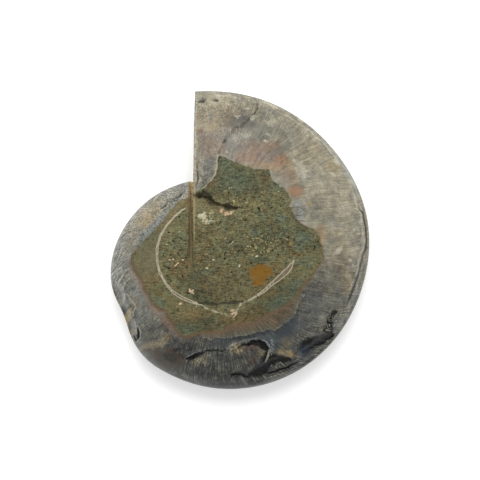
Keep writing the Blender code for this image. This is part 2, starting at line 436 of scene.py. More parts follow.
@dataclass(frozen=True)
class Markings:
    """Where the upper face's materials and colours lie, and its painted highlights and shade."""

    sandstone: Outline = Outline((
        (218, 155), (232, 160), (242, 165), (254, 169), (268, 169), (272, 180), (281, 187), (287, 192),
        (291, 200), (289, 206), (293, 213), (297, 221), (304, 226), (316, 230), (319, 237), (323, 252),
        (324, 259), (316, 270), (309, 281), (303, 287), (297, 297), (287, 305), (271, 314), (262, 318),
        (251, 324), (233, 326), (227, 328), (223, 332), (203, 334), (194, 335), (184, 338), (178, 334),
        (171, 323), (166, 317), (164, 311), (158, 310), (151, 304), (147, 295), (143, 289), (141, 282),
        (133, 270), (130, 262), (130, 255), (136.5, 248), (149, 235), (162, 221), (170, 211),
        (176.5, 201), (188, 197.5), (197, 191), (206, 184), (212, 179), (215, 173), (217, 167),
        (216, 159),
    ))
    coarse: Outline = Outline((
        (185, 209), (175, 217), (167, 226), (161, 235), (157, 248), (157, 262), (160, 274), (168, 287),
        (178, 296), (190, 302), (205, 306), (230, 311), (245, 303), (257, 296), (266, 289), (275, 281),
        (284, 273), (295, 257), (330, 250), (320, 200), (270, 150), (205, 150), (195, 195),
    ))
    inner_wall: Ribbon = Ribbon((
        (186, 207.5, 0.8), (181, 210.5, 2.0), (174, 216.5, 2.2), (166, 225.5, 2.0), (160, 235.5, 2.2),
        (156.5, 247.5, 2.6), (156.5, 261.5, 2.4), (159, 272.5, 2.6), (166.2, 285, 2.4),
        (172.4, 292, 2.8), (180.5, 297.3, 3.6), (189.6, 301.4, 3.2), (199, 304.4, 1.8),
        (205, 306, 0.4),
    ))
    inner_wall_east: Ribbon = Ribbon((
        (242, 303, 0.8), (249, 300, 1.8), (257, 295.5, 2.6), (264.5, 290.3, 3.4), (270, 285, 3.6),
        (276, 280.2, 4.6), (281, 276, 5.2), (285, 272.3, 6.0), (288.4, 268.8, 5.0),
        (291.2, 264.3, 3.6), (295, 257.5, 0.4),
    ))
    calcite_flecks: Ribbon = Ribbon((
        (196, 306, 1.6), (202, 306, 0.6), (205, 308, 2.0), (210, 309, 0.6), (215, 312, 2.2),
        (219, 313, 0.6), (224, 314, 1.6), (228, 316, 0.6), (233, 317, 2.0), (236, 312, 1.0),
        (240, 304, 1.6), (243, 302, 0.4),
    ))
    apex_line: Ribbon = Ribbon((
        (218, 152, 0.6), (216, 160, 1.4), (217, 167, 1.6), (214, 175, 1.4), (209, 181, 0.7),
        (204, 187, 0.9), (198, 192, 0.6),
    ))
    ochre: Outline = Outline((
        (248, 268), (256, 265), (267, 265), (272, 270), (274, 275), (267, 278), (263, 283), (257, 288),
        (251, 285), (252, 280), (249, 274),
    ))
    break_strip: Outline = Outline((
        (303, 293), (299, 304), (293, 317), (284, 324), (274, 331), (268, 330), (263, 331), (255, 333),
        (245, 335), (236, 336.5), (230, 338), (224, 339), (216, 338), (212, 340), (203, 338),
        (200, 330), (225, 320), (260, 305), (290, 292),
    ))
    bared_shell: Outline = Outline((
        (303, 293), (299, 304), (293, 317), (284, 324), (274, 331), (268, 330), (263, 331), (255, 333),
        (245, 335), (236, 336.5), (224, 339), (212, 340), (208, 348), (226, 349), (232, 344),
        (240, 342), (255, 338), (263, 339), (269, 347), (272, 356), (292, 360), (296, 345), (298, 328),
        (301, 312), (305, 300),
    ))
    cracks: tuple[Ribbon, ...] = (
        Ribbon((
            (254.5, 96, 1.2), (256.4, 103, 1.5), (257, 109, 1.8), (253.5, 113, 1.5), (249.4, 117, 1.5),
            (246.5, 121.5, 1.6), (242.5, 125, 1.4), (235.5, 128, 1.4), (231, 133, 1.3),
            (225.5, 138.5, 1.4), (224, 142, 1.1), (220.5, 149, 1.4), (217.5, 155, 0.8),
        )),
        Ribbon((
            (198, 302.5, 1.0), (206, 303, 2.4), (214, 304, 1.8), (224, 303.5, 1.8), (234, 302.5, 2.4),
        )),
        Ribbon(((234, 302.5, 2.2), (240, 301.5, 1.6), (247, 299, 0.6))),
        Ribbon(((255.5, 294.5, 0.6), (257.5, 299, 1.2))),
    )
    voids: tuple[Ribbon, ...] = (
        Ribbon((
            (186, 359.5, 1.0), (189, 358.5, 3.0), (195, 356, 3.2), (199, 353.5, 1.2), (204, 352, 0.7),
            (208, 351.3, 2.4), (213, 350.5, 1.4), (220, 350.8, 0.8), (228, 350.5, 0.3),
        )),
        Ribbon((
            (238, 348, 1.6), (245, 345.5, 2.6), (252, 342.5, 4.6), (258, 343, 6.4), (264, 346, 6.6),
            (267, 350, 3.0), (265, 356, 2.0), (262, 360, 4.0),
        )),
        Ribbon(((231, 375, 3.4), (238, 374, 3.0), (248, 376, 2.4), (256, 373, 5.0))),
        Ribbon(((268, 373, 2.4), (277, 371, 2.6), (286, 368, 2.0), (297, 362, 1.8))),
        Ribbon(((137.5, 329, 1.8), (138.2, 333, 2.6), (138, 338, 2.2))),
        Ribbon(((134, 336, 1.2), (136, 340, 1.8))),
        # The last four ribbons run under the hollow's ledge: on the stone they are laid in as the
        # ledge's painted shadow.
        Ribbon((
            (197.4, 194, 1.4), (199.6, 195, 6.0), (203, 194, 5.0), (207, 195.5, 6.4), (210, 199, 4.0),
        )),
        Ribbon(((210, 199, 3.0), (215, 202, 1.4), (219, 204, 2.0), (224, 206, 4.6), (228, 207, 6.4))),
        Ribbon(((204, 199.5, 1.0), (208, 202.5, 2.6), (213, 204.5, 1.8), (218, 206, 0.6))),
        Ribbon(((227, 206, 5.0), (232, 207.5, 3.6), (237, 208.5, 3.6), (241, 206.5, 1.4))),
    )
    breaks: tuple[Outline, ...] = (
        Outline((
            (264, 356), (269, 353.5), (275, 354.5), (283, 357), (291, 360.5), (285, 361.5), (277, 362),
            (270, 366), (266, 370.8), (260, 375.2), (252, 376), (246, 375.6), (250, 372), (255, 368),
            (258, 363), (261, 359),
        )),
        Outline((
            (303, 341), (307.5, 338), (313, 337), (317.5, 336), (320, 336), (323, 330.5), (321.5, 328),
            (324, 325.5), (325.5, 320.5), (328.4, 317), (331.8, 313.4), (334.4, 309.8), (335.6, 311.4),
            (333.6, 315), (331, 319), (330.5, 325.5), (332.5, 328), (331, 331), (332, 335),
            (330.5, 338), (327.5, 340), (323, 343), (319, 344.5), (314, 347), (309, 350), (303, 352),
            (299, 351), (299, 345),
        )),
    )
    threads: tuple[Ribbon, ...] = (
        Ribbon(((299, 308, 0.1), (298.5, 322, 0.2), (297, 338, 0.2), (295.5, 352, 0.1))),
        Ribbon((
            (126.5, 293, 0.8), (129, 298, 1.0), (133, 303, 1.2), (135.4, 307, 1.2),
            (132.5, 311.5, 1.2), (132.6, 316, 0.8),
        )),
        Ribbon(((137, 325, 0.8), (140, 331, 1.2), (139.6, 338, 1.0), (136.5, 342, 1.0))),
        Ribbon(((133.5, 319, 0.8), (135.5, 326, 0.8), (136, 334, 1.0))),
        Ribbon(((116, 262, 0.8), (119, 255, 1.2), (121, 247, 0.8))),
        Ribbon(((117, 286, 0.8), (121, 277, 1.4), (126, 269, 0.8))),
        Ribbon(((121.5, 291, 1.0), (124, 284, 1.4), (130, 277, 0.8))),
        Ribbon(((195.6, 93, 1.0), (195.3, 108, 2.2), (195.2, 124, 1.2), (194.8, 146, 1.4))),
        Ribbon(((194.8, 146, 1.2), (194.6, 160, 1.6), (194.4, 174, 1.4), (194.2, 182, 0.6))),
        Ribbon(((257, 379.5, 0.1), (270, 377, 0.4), (283, 373, 0.4), (294, 368, 0.1))),
        Ribbon(((268.5, 350, 1.2), (267.5, 356, 2.2), (265, 362, 1.2))),
    )
    # Painted highlights along the upper edges of the breaks at the bottom and along the upper-right rim.
    edge_highlight: tuple[Ribbon, ...] = (
        Ribbon((
            (226, 349.5, 0.4), (229, 346.5, 0.8), (232, 344.5, 1.0), (236, 343, 0.8), (244, 341, 0.8),
            (247.5, 340, 1.0), (251, 338.9, 0.8), (255, 338.5, 0.8), (260, 339, 0.8),
            (264.5, 340.8, 1.2), (268, 345, 1.8), (270, 350, 1.4), (271, 355, 0.6),
        )),
        Ribbon((
            (186, 357.5, 0.2), (190, 355, 0.6), (196, 352.2, 0.6), (202, 349.5, 0.6),
            (209, 348.4, 0.4), (217, 348.4, 0.2),
        )),
        Ribbon((
            (317, 137, 0.4), (322, 142, 1.0), (329, 149.5, 1.2), (336, 158, 1.6), (343, 167, 1.4),
            (350, 178, 1.6), (354.5, 188, 1.2), (357, 196, 0.6),
        )),
    )
    # The gap along the spall's ledge on the right rim: cut a little into the face, and laid in near
    # black as the ledge's painted shadow.
    rim_gap_and_shadow: Ribbon = Ribbon((
        (357, 207, 0.6), (362.4, 213, 2.0), (364, 222, 1.8), (365.6, 231, 2.0), (366, 240, 1.6),
        (365.2, 249, 2.6), (362.4, 255, 1.8), (360.6, 262, 2.0), (358.4, 272, 1.6), (356, 280, 1.0),
        (352, 290, 2.4), (348, 300, 2.0), (346, 306, 0.6),
    ))
    # The spall's broken edge on the right rim, laid in pale as a painted highlight.
    rim_edge: Ribbon = Ribbon((
        (353, 192, 0.6), (355, 202, 1.6), (358, 209, 1.2), (361, 215, 1.6), (361.6, 224, 1.2),
        (362.6, 234, 1.4), (364, 241, 1.2), (363, 250, 1.4), (359.8, 255, 2.0), (358, 261, 1.8),
        (356, 273, 1.4), (353, 280, 1.2), (350, 289, 1.0), (346, 298, 0.6),
    ))
    hairline_gaps: tuple[Ribbon, ...] = (
        Ribbon(((159.8, 208.8, 0.8), (162.5, 207.4, 1.6), (166, 205, 1.4))),
        Ribbon(((320, 142, 0.3), (326, 149, 0.8), (333, 158.5, 0.5))),
        Ribbon(((177, 198, 0.8), (180, 196, 2.2), (181, 194, 1.4))),
        Ribbon(((195.6, 158, 0.6), (196.8, 168, 1.2), (197.4, 178, 1.8), (196.5, 185, 0.8))),
        Ribbon(((141, 233, 1.0), (143, 235, 1.4))),
    )
    kerf_band: Ribbon = Ribbon((
        (190.2, 182, 4.4), (190.2, 215, 4.2), (190.3, 250, 3.8), (190.6, 262, 3.0), (191, 268, 0.6),
    ))
    kerf_shadow: Ribbon = Ribbon((
        (188.4, 198, 0.3), (188.6, 215, 1.2), (189, 232, 1.7), (189, 245, 1.8), (189.3, 254, 1.0),
    ))
    # The kerf's lit right wall, laid in pale as painted light.
    kerf_lip: Ribbon = Ribbon((
        (193.9, 182, 2.4), (193.6, 200, 2.0), (193.6, 215, 1.8), (193.7, 228, 1.0), (193.8, 244, 0.4),
    ))
    # Pale patches; the narrow ones along the upper-right rim, from (300, 120) to (351, 182), are painted
    # highlights.
    pale: Patches = ovals(
        (237, 116, 3.0, 1.8, 0.9, 10), (235, 138, 3.0, 4.0, 0.55, 20), (246, 135.5, 4.0, 3.0, 0.6, 20),
        (252, 118, 4.6, 2.2, 0.8, 15), (231, 243.5, 3.4, 0.6, 1.5, 30), (224, 238, 1.2, 0.8, 1.4),
        (212.5, 260, 1.2, 1.1, 1.4), (206.5, 267.5, 0.9, 0.9, 1.2), (239, 265.5, 1.8, 0.8, 1.4, 30),
        (256, 256, 1.2, 0.7, 1.4), (166, 244.5, 1.2, 0.7, 1.3), (267, 134, 1.8, 1.0, 1.0, -20),
        (265, 141, 2.2, 1.4, 1.0, -30), (246, 109, 2.0, 1.4, 0.8), (271, 123, 6.0, 4.4, 0.7, 20),
        (285, 124, 2.4, 1.4, 0.6), (226, 152, 1.2, 0.9, 0.9), (293, 161, 2.2, 1.8, 1.0),
        (309, 161, 1.4, 1.2, 1.0), (303, 173, 3.0, 9.5, 0.72, 4), (299, 168, 6.0, 8.5, 0.7, 4),
        (279, 191, 0.9, 0.8, 1.0), (332, 174, 4.2, 1.8, 1.0, -25), (335, 162, 1.2, 3.0, 0.9, 20),
        (321, 184, 1.4, 0.9, 0.8), (338, 206, 1.6, 1.2, 0.8), (338, 251, 5.2, 3.2, 1.0, 38),
        (350, 260, 2.6, 1.8, 0.8), (352, 265, 2.0, 1.6, 0.8), (354, 230, 2.0, 1.2, 0.8),
        (345, 238, 1.6, 3.0, 0.6), (348, 274, 4.0, 5.5, 0.4), (311, 318, 1.4, 0.8, 0.8),
        (154, 344, 14, 5, 0.45, 20), (202, 126.5, 4, 1.2, 0.55, -12), (215, 125.5, 3, 1.0, 0.4, -10),
        (206, 135, 1.4, 1.0, 0.9), (202, 105.5, 4, 1.2, 0.6, 5), (196, 178, 0.9, 4.5, 1.0, -6),
        (199, 181, 0.8, 4.0, 0.8, -25), (300, 120, 5.0, 1.4, 0.8, -28), (318, 139, 5.0, 1.2, 0.4, -40),
        (326, 147, 6.0, 1.6, 0.9, -50), (336, 160, 1.4, 6.0, 0.9, 28), (351, 182, 1.4, 4.0, 0.8, 25),
        (303, 296, 1.0, 3.0, 0.8, -15),
    )
    rose: Patches = ovals(
        (254, 152, 19, 11, 0.55, -8), (248, 158, 15, 6, 0.75, -16), (279, 161, 8, 7, 1.0, 30),
        (265, 165, 14, 4, 0.8, -12), (290.5, 354, 2.4, 3, 0.6), (295, 191, 8, 6, 1.0),
        (291, 176, 6, 10, 0.5), (222, 147, 5, 8, 0.5), (224, 107, 12, 5, 0.2), (207, 146, 10, 12, 0.4),
        (199.5, 131.3, 3, 2.2, 1.2), (262, 149, 15, 8, 0.55, -6), (281, 171, 8, 5, 0.5),
        (166, 323, 3, 10, 0.4, 40), (270, 148, 12, 6, 0.5, 20), (225, 122, 20, 14, 0.25),
        (340, 262, 10, 12, 0.15), (320, 235, 6, 8, 0.5), (155, 258, 3, 14, 0.4),
        (156, 308, 8, 5, 0.5, -40),
    )
    tan: Patches = ovals(
        (201, 125.5, 8, 5, 0.8), (215, 127, 9, 4, 0.65, -10), (200, 134, 5, 4, 0.3),
        (214, 97, 22, 5, 0.25), (263, 167, 18, 3.4, 0.8, -8), (332, 166, 9, 7, 0.7, -40),
        (289, 165, 5, 9, 0.6), (312, 152, 16, 12, 0.3), (196.5, 128, 2.4, 14, 0.7),
        (318, 232, 7, 8, 0.4), (148, 216, 17, 9, 0.8, 48), (130, 240, 7, 14, 0.4, 0),
        (285, 354, 9, 4.5, 0.75, -8), (126, 319, 2.2, 9, 0.9, -20), (299, 303, 6, 5, 0.4),
        (338, 240, 9, 12, 0.3), (133, 302, 3, 8, 0.6, -10), (153, 345, 14, 4, 0.6, 18),
        (166, 338, 7, 3.6, 0.6, 40), (150, 366, 22, 3, 0.5, -30), (347, 284, 6, 12, 0.6),
        (236, 348, 8, 6, 0.65), (200, 361, 9, 4, 0.35, 20), (322, 240, 4, 10, 0.5),
        (195.5, 155, 1.8, 22, 1.0), (286, 342, 6, 6, 0.5), (261, 353, 3.0, 4.6, 0.5),
        (268, 355, 1.4, 5, 0.8, -12), (213, 138, 26, 26, 0.3),
    )
    slate: Patches = ovals(
        (210.5, 117, 2.4, 4.6, 1.0), (237, 122, 10, 6, 0.9, 25), (262, 129, 10, 6, 0.7),
        (228, 142, 7, 11, 0.8), (206, 166, 7, 12, 0.4, -10), (203, 98, 6, 1.6, 0.9, 15),
        (158, 226, 6, 22, 1.0, -45), (178, 189, 8, 6, 0.6), (272, 338, 22, 6, 1.0, 8),
        (295, 326, 14, 9, 0.8, 40), (311, 303, 16, 14, 0.6), (304, 352, 6, 6, 0.8, 40),
        (334, 240, 7, 4, 0.6), (249, 125, 5, 8, 0.8, -40), (283, 148, 16, 3.4, 0.5, 20),
        (272, 128, 8, 5, 0.5), (333, 164, 3, 2.4, 0.5), (143, 297, 12, 10, 0.5),
        (225, 343, 16, 5, 0.6), (240, 149, 5, 5, 0.6),
    )
    snow: Patches = ovals(
        (297, 204, 6, 3.0, 0.66, -15), (300, 214, 3.6, 8, 0.62, 5), (149, 229, 4.6, 24, 0.55, -44),
        (176, 203, 3.4, 12, 0.5, -48), (128, 258, 4, 9, 0.5, -20), (127, 236, 4, 10, 0.4, -25),
        (136, 292, 6, 12, 0.3, 35), (272, 345, 2.6, 8, 0.6, 6), (209.4, 115, 1.6, 4.0, 0.8),
        (118, 262, 8, 30, 0.25), (334, 325, 1.0, 6, 0.8, -20), (357, 293, 5, 18, 0.35, 20),
    )
    teal: Patches = ovals(
        (280, 218, 6, 5, 1.0), (277, 185, 11, 8, 0.45), (302, 238, 9, 6, 0.9), (298, 248, 4, 5, 0.8),
        (236, 180, 16, 12, 0.7), (226, 166, 7, 10, 0.7), (158, 301, 7, 5, 0.8, -30),
        (184, 329, 11, 6, 0.8), (280, 302, 14, 6, 0.9, 30), (254, 232, 6, 4, 0.6),
        (295, 286, 10, 5, 0.8, 50), (307, 262, 8, 6, 0.5), (286, 231, 8, 8, 0.5),
    )
    # Brown patches of the stone; the one at (208, 203) is painted shade on the slope under the hollow's
    # ledge.
    umber: Patches = ovals(
        (183, 203, 8, 5, 1.0, 40), (168, 219, 14, 3.6, 0.9, 48), (151, 277, 7, 12, 0.7, -40),
        (159, 294, 5, 4, 0.6), (296, 254, 9, 3, 0.9, 0), (289, 240, 4, 10, 0.5),
        (180, 268, 12, 12, 0.5), (190, 316, 16, 7, 0.8, 10), (240, 318, 22, 6, 0.9, 12),
        (276, 268, 5, 4, 0.9), (263, 290, 12, 9, 0.6), (208, 203, 8, 5, 0.9), (266, 181, 8, 6, 0.4),
        (225, 283, 24, 14, 0.5), (200, 245, 12, 20, 0.4),
    )
    # Patches that darken the colour; the ones at (212, 203) and (208.5, 203) under the hollow's ledge
    # and those along the bottom rim are painted shade.
    dim: Patches = ovals(
        (205, 325, 34, 8, 0.9), (250, 314, 24, 8, 0.7, 12), (286, 298, 20, 10, 0.9, 40),
        (214, 288, 34, 16, 0.6), (240, 255, 22, 16, 0.4), (236, 175, 16, 14, 0.4),
        (212, 203, 7, 3.4, 1.4, -25), (222, 304, 26, 2, 0.9), (262, 151, 24, 15, 1.35, -10),
        (281, 161, 9, 8, 1.2), (207, 143, 12, 12, 1.9), (229, 150, 14, 10, 0.8),
        (171, 204, 11, 4, 1.0, 45), (184, 195, 4, 4, 0.8), (160, 195, 8, 4, 0.6, 30),
        (324, 266, 5, 5, 0.7), (210, 157, 7, 8, 1.5), (204, 125, 10, 4, 0.5), (209, 169, 5, 8, 0.6),
        (199.5, 131.5, 3.4, 2.6, 1.5), (280, 171, 9, 6, 1.35), (278, 182, 12, 8, 0.5),
        (325, 218, 8, 6, 0.5), (181, 185, 5, 3.4, 0.9), (208.5, 203, 4.5, 2.8, 1.7),
        (156, 203, 6, 4, 0.7), (175, 357, 8, 9, 0.6, 20), (317, 203, 8, 7, 0.9),
        (318, 288, 12, 10, 0.75), (127, 311, 6, 8, 1.4), (125, 228, 5, 9, 1.3),
        (232, 386.5, 60, 3.2, 1.4), (183, 381, 16, 3, 1.8, -20), (284, 378, 20, 3, 0.45, 24),
        (338, 272, 8, 8, 0.3), (236, 124, 16, 13, 0.8, 25), (295, 190, 9, 8, 0.9),
        (297, 213, 7, 10, 1.2), (250, 124, 6, 9, 0.6, -40), (276, 320, 20, 7, 0.5, 30),
        (306, 350, 8, 8, 1.0, 40), (165, 361, 14, 8, 0.5, -15), (285, 333, 14, 9, 0.5, 40),
        (318, 346, 16, 6, 0.4, 42), (240, 147, 4, 4, 1.9), (203, 181, 3, 4, 1.0),
        (300, 368.5, 7, 3, 0.9, 24), (297, 356, 4, 3, 1.0), (291, 175, 5, 5, 1.3),
        (269, 167, 6, 3, 1.7), (230, 133, 3, 5, 1.0), (278, 283, 6, 5, 1.0), (267, 289, 5, 3, 0.9),
        (246, 277, 5, 5, 0.9), (147, 202, 6, 4, 1.0), (283, 135, 5, 4, 0.9), (314, 216, 5, 4, 1.0),
        (354, 278, 3, 6, 0.9), (240, 160, 6, 4, 1.6), (254, 166, 6, 3, 1.8), (292, 207, 3, 3, 1.0),
        (219, 139, 4, 11, 0.9), (239, 137, 4, 4, 0.9), (228, 99, 5, 3, 1.0), (234, 203, 4, 3, 0.9),
        (203, 238, 4, 4, 1.0), (321, 274, 4, 5, 0.9), (273, 169, 4, 3, 1.4), (264, 298, 5, 4, 0.9),
    )
    lit: Patches = ovals(
        (175, 241, 12, 15, 0.9), (214, 100, 21, 8, 1.15), (211, 116, 6, 6, 0.6),
        (343, 236, 7, 10, 0.3), (150, 356, 9, 6, 0.4, -20), (270, 104, 8, 4, 0.9, -15),
        (345, 209, 7, 8, 1.0), (351, 253, 7, 7, 1.0), (200, 170, 4, 8, 0.4), (210, 344, 18, 4, 0.4),
        (215, 365, 30, 7, 0.25), (150, 318, 12, 10, 0.35), (133, 296, 4, 6, 0.7),
        (158, 334, 6, 5, 0.9), (176, 206, 4, 16, 0.5, -45), (342, 327, 4, 7, 1.0, 30),
        (321, 321, 5, 6, 1.0), (248, 341, 5, 2, 0.9), (227, 353, 5, 2.4, 0.8), (333, 314, 3, 4, 1.0),
        (344, 194, 4, 5, 1.0), (202, 226, 5, 4, 1.0), (220, 219, 6, 4, 1.0), (139, 302, 4, 6, 0.9),
        (197, 109, 3, 5, 0.9), (236, 213, 5, 3, 1.0), (258, 341, 5, 2, 0.7), (236, 110, 4, 3, 0.8),
    )
    worn: Patches = ovals(
        (166, 359, 17, 8, 1.0, -22), (150, 345, 10, 6, 0.6, -30),
    )
    gold: Patches = ovals(
        (127, 318, 3.4, 11, 1.2, -20), (120, 303, 2.6, 5, 0.8, -20), (131, 333, 2.0, 4, 1.0, -10),
        (289, 354, 3.6, 3, 1.3, 10), (281, 355, 5, 2.6, 0.8, -20), (308.5, 203.5, 3.6, 3.4, 1.1),
        (206, 105, 6, 3, 0.4), (224, 97, 16, 3, 0.2, -4), (199, 113, 3, 4, 0.7),
        (207, 127.5, 10, 3.0, 0.85, -12), (237, 346, 8, 4, 0.7, 15), (155, 345, 10, 2.4, 0.5, 20),
    )
    plain: Patches = ovals(
        (146, 258, 12, 22, 1.0), (176, 207, 16, 4, 0.9, 48), (163, 221, 10, 4, 0.8, 48),
        (158, 236, 6, 16, 0.7, -40),
    )
    grains: Patches = ovals(
        (240, 203, 30, 6, 0.8, -8), (259, 245, 20, 12, 1.0), (245, 212, 16, 8, 0.6),
        (285, 236, 10, 14, 0.7), (206, 216, 10, 9, 1.0), (228, 188, 2.6, 5, 1.3, -25),
        (233, 201, 3.6, 2.6, 1.3), (214, 254, 26, 20, 0.35),
    )
    rosy: Patches = ovals(
        (169, 259.5, 1.3, 0.9, 1.0), (172.5, 259.3, 1.3, 0.9, 1.0), (182, 260, 1.1, 0.9, 0.9),
        (176, 264.3, 3.4, 0.9, 1.0, 42), (191, 290.5, 3.2, 1.2, 1.0, 35),
        (189.5, 291, 1.1, 2.8, 1.0, 10), (192, 293, 2.4, 1.0, 0.9, -30),
        (233, 312.5, 4.4, 4.4, 0.60, 30), (230, 316, 3.0, 1.4, 0.7, -20), (239, 305, 2.2, 1.2, 0.8),
        (180, 304, 2.4, 1.6, 0.6), (197, 306, 3.0, 1.2, 0.6), (206, 254, 0.9, 0.8, 0.8),
        (166, 245, 1.0, 0.8, 0.7), (220.5, 211, 2.6, 1.6, 0.9, -25), (228, 213, 6, 2.0, 0.9, 10),
        (233, 211, 3.4, 0.9, 0.7, 30), (178, 320, 1.6, 1.0, 0.5),
    )
    ivory: Patches = ovals(
        (202, 216, 6, 3.6, 1.0, 10), (206, 221, 9, 4, 0.8), (211, 214, 4, 3, 0.7),
        (234, 308, 5, 5, 0.25, 30),
    )
    navy: Patches = ovals(
        (304, 351, 5, 6, 1.0, 40), (290, 326, 5, 9, 0.7, -35), (265, 366, 6, 5, 0.2),
        (280, 334, 8, 4, 0.5, 20), (262, 334, 14, 2, 0.4, 12),
    )
    russet: Patches = ovals(
        (250, 346.5, 9, 2.2, 1.0, 10), (199.5, 131.5, 3.2, 2.2, 1.3, 10), (198, 114, 1.6, 3.6, 0.5),
        (206, 130, 1.4, 0.8, 0.6), (240, 348.5, 3, 1.6, 0.9), (252, 359.5, 4, 5, 0.55),
        (146, 350, 5, 1.8, 0.7, 18), (172, 351, 7, 3, 0.6, -20), (179, 358, 2.4, 6, 0.7, 25),
        (156, 356, 6, 4, 0.5, -20), (129.5, 322, 1.4, 3, 0.8, -10), (319, 232, 4, 9, 0.5, -25),
        (283, 180, 6, 4, 0.4, -40),
    )
    soot: Patches = ovals(
        (170, 358, 10, 5, 0.6, -25), (160, 362, 10, 3, 0.4, -30), (176, 350, 5, 2.2, 0.8, 15),
        (236, 130, 9, 6, 0.5, 45), (174, 358, 5, 7, 0.5, 20), (148, 350, 4, 1.6, 0.6, 20),
        (286, 333, 10, 8, 0.4, 40), (268, 367, 20, 7, 0.55, 15), (316, 342, 16, 6, 0.5, 40),
        (201.5, 101, 5, 1.8, 1.1, 15), (201, 97.5, 3, 0.8, 0.8, 5), (215.5, 100, 3, 1.8, 1.0),
        (232, 102, 3.4, 0.9, 0.7, -10), (305, 352, 5, 6, 0.5, 40), (209, 103, 3, 1.2, 0.4, -20),
        (247, 374, 18, 4, 0.5), (186, 381.5, 16, 2.6, 0.5, -20), (201, 127, 5, 7, 0.35),
        (283, 372, 18, 2.4, 0.5, 18), (116, 300, 3, 6, 0.4, -20),
    )
    crystal: Patches = ovals(
        (278, 365, 9, 3.0, 0.85, 18), (330, 317, 4, 5, 0.9, -20), (325, 329, 5, 7, 1.1, -35),
        (200, 362, 9, 5, 1.0), (235, 349, 9, 5, 1.0), (344, 312, 6, 10, 0.9, -20),
        (266, 375, 28, 3.4, 0.3, 8), (181, 373, 9, 3, 0.6, -25), (322, 350, 16, 5, 0.9, 42),
        (204, 97, 12, 4, 1.1), (222, 98, 14, 4, 0.65, -5), (205, 107, 10, 4, 0.7),
        (150, 218, 22, 10, 0.6, 46), (133, 300, 5, 9, 0.5, -20), (210, 345, 20, 3, 0.5),
        (208, 128, 14, 5, 0.75), (236, 135, 13, 8, 0.9, 20),
    )
    # The nacre's tone round the coil: lighter towards the top and darker towards the bottom.
    tone: Line = (
        (-260, 0.86), (-235, 0.88), (-210, 0.82), (-185, 0.73), (-165, 0.70), (-145, 0.63),
        (-130, 0.45), (-105, 0.35), (-75, 0.34), (-50, 0.40), (-35, 0.46), (-20, 0.56), (-5, 0.73),
        (12, 0.84), (35, 0.92), (60, 0.86), (80, 0.82), (100, 0.80),
    )
    crisp: Line = (
        (-260, 0.6), (-190, 0.6), (-150, 0.7), (-120, 0.95), (-50, 1.0), (-20, 0.8), (0, 0.65),
        (30, 0.6), (60, 0.65), (85, 0.6), (95, 0.5), (110, 0.4),
    )
    warmth: Line = (
        (-260, 0.5), (-215, 0.65), (-190, 0.2), (-150, 0.2), (-110, 0.45), (-60, 0.4), (-25, 0.5),
        (0, 0.9), (40, 1.0), (100, 0.85),
    )
    # How strong the painted rim highlight is round the coil, and how far it eases the painted shade on
    # the keel's outermost edge.
    polish: Line = (
        (-60, 0.0), (-30, 0.5), (10, 0.8), (70, 1.0), (100, 0.4),
    )
    halo: Line = (
        (-200, 0.2), (-180, 0.9), (-140, 1.0), (-110, 0.3), (-60, 0.0),
    )
    scuff: Line = (
        (-262, 0.3), (-215, 0.45), (-195, 0.8), (-170, 0.8), (-150, 0.1), (-140, 0.0),
    )
    rust: Line = (
        (-250, 0.0), (-192, 0.05), (-182, 0.8), (-172, 1.0), (-60, 1.0), (-25, 1.0), (0, 0.7),
        (15, 0.25), (40, 0.0),
    )
    leans: Line = (
        (-140, 0.0), (-100, -0.15), (-60, 0.10), (-35, 0.40), (-15, 0.05), (0, -0.20), (15, -0.30),
        (30, -0.75), (50, -0.70), (70, -0.30), (100, -0.15),
    )
    lean_from: float = 0.7
    bend: float = 0.04
    bend_from: float = 0.75
    west_bend: float = 0.16
    west: Point = (-265.0, -140.0)
    west_fades: Point = (60.0, 30.0)
    grit: Line = (
        (-262, 0.9), (-215, 1.0), (-200, 0.6), (-185, 0.35), (-150, 0.15), (-120, 0.0), (70, 0.0),
        (88, 0.4), (110, 0.7),
    )
    raggedness: float = 0.7
    rag_length: float = 1.9
    calm: float = 0.6
    calm_from: float = -20.0
    calm_fade: float = 10.0
    break_growth: float = 0.3

    def by_angle(self, degrees: Array) -> dict[str, Array]:
        """What turns with the coil, at some angles, by the name that the finishes know."""
        names = ("tone", "crisp", "rust", "warmth", "halo", "polish", "scuff", "grit")
        return {name: np.interp(degrees, *zip(*getattr(self, name))) for name in names}

    def sweep(self, share: Array, degrees: Array) -> Array:
        """How far the growth lines bend off their radius, in radians round the coil."""
        west = smooth((degrees - self.west[0]) / self.west_fades[0])
        west = west * smooth((self.west[1] - degrees) / self.west_fades[1])
        bend = np.clip((share - self.bend_from) / (1.0 - self.bend_from), 0.0, 1.0) ** 2
        lean = np.interp(degrees, *zip(*self.leans)) * (share - self.lean_from)
        return (self.bend + self.west_bend * west) * bend + lean

    def colours(self, x: Array, y: Array) -> dict[str, Array]:
        """How strong each soft colour is at some points, by the name that the finishes know."""
        names = ("pale", "rose", "tan", "slate", "snow", "teal", "umber", "plain", "dim")
        names += ("gold", "worn", "grains", "rosy", "ivory", "soot", "crystal", "navy", "russet")
        shaken = self.shaken(x, y)
        known = {name: strongest(getattr(self, name), *shaken) for name in names}
        known["dim"] -= strongest(self.lit, *shaken)
        return known

    def shaken(self, x: Array, y: Array) -> tuple[Array, Array]:
        """Points shaken a little, for edges that are broken: less so in the west."""
        much = self.raggedness * (1.0 - self.calm * smooth((self.calm_from - x) / self.calm_fade))
        return (
            x + much * ripple(x, y, self.rag_length, Pattern.RAGGED_X),
            y + much * ripple(x, y, self.rag_length, Pattern.RAGGED_Y),
        )

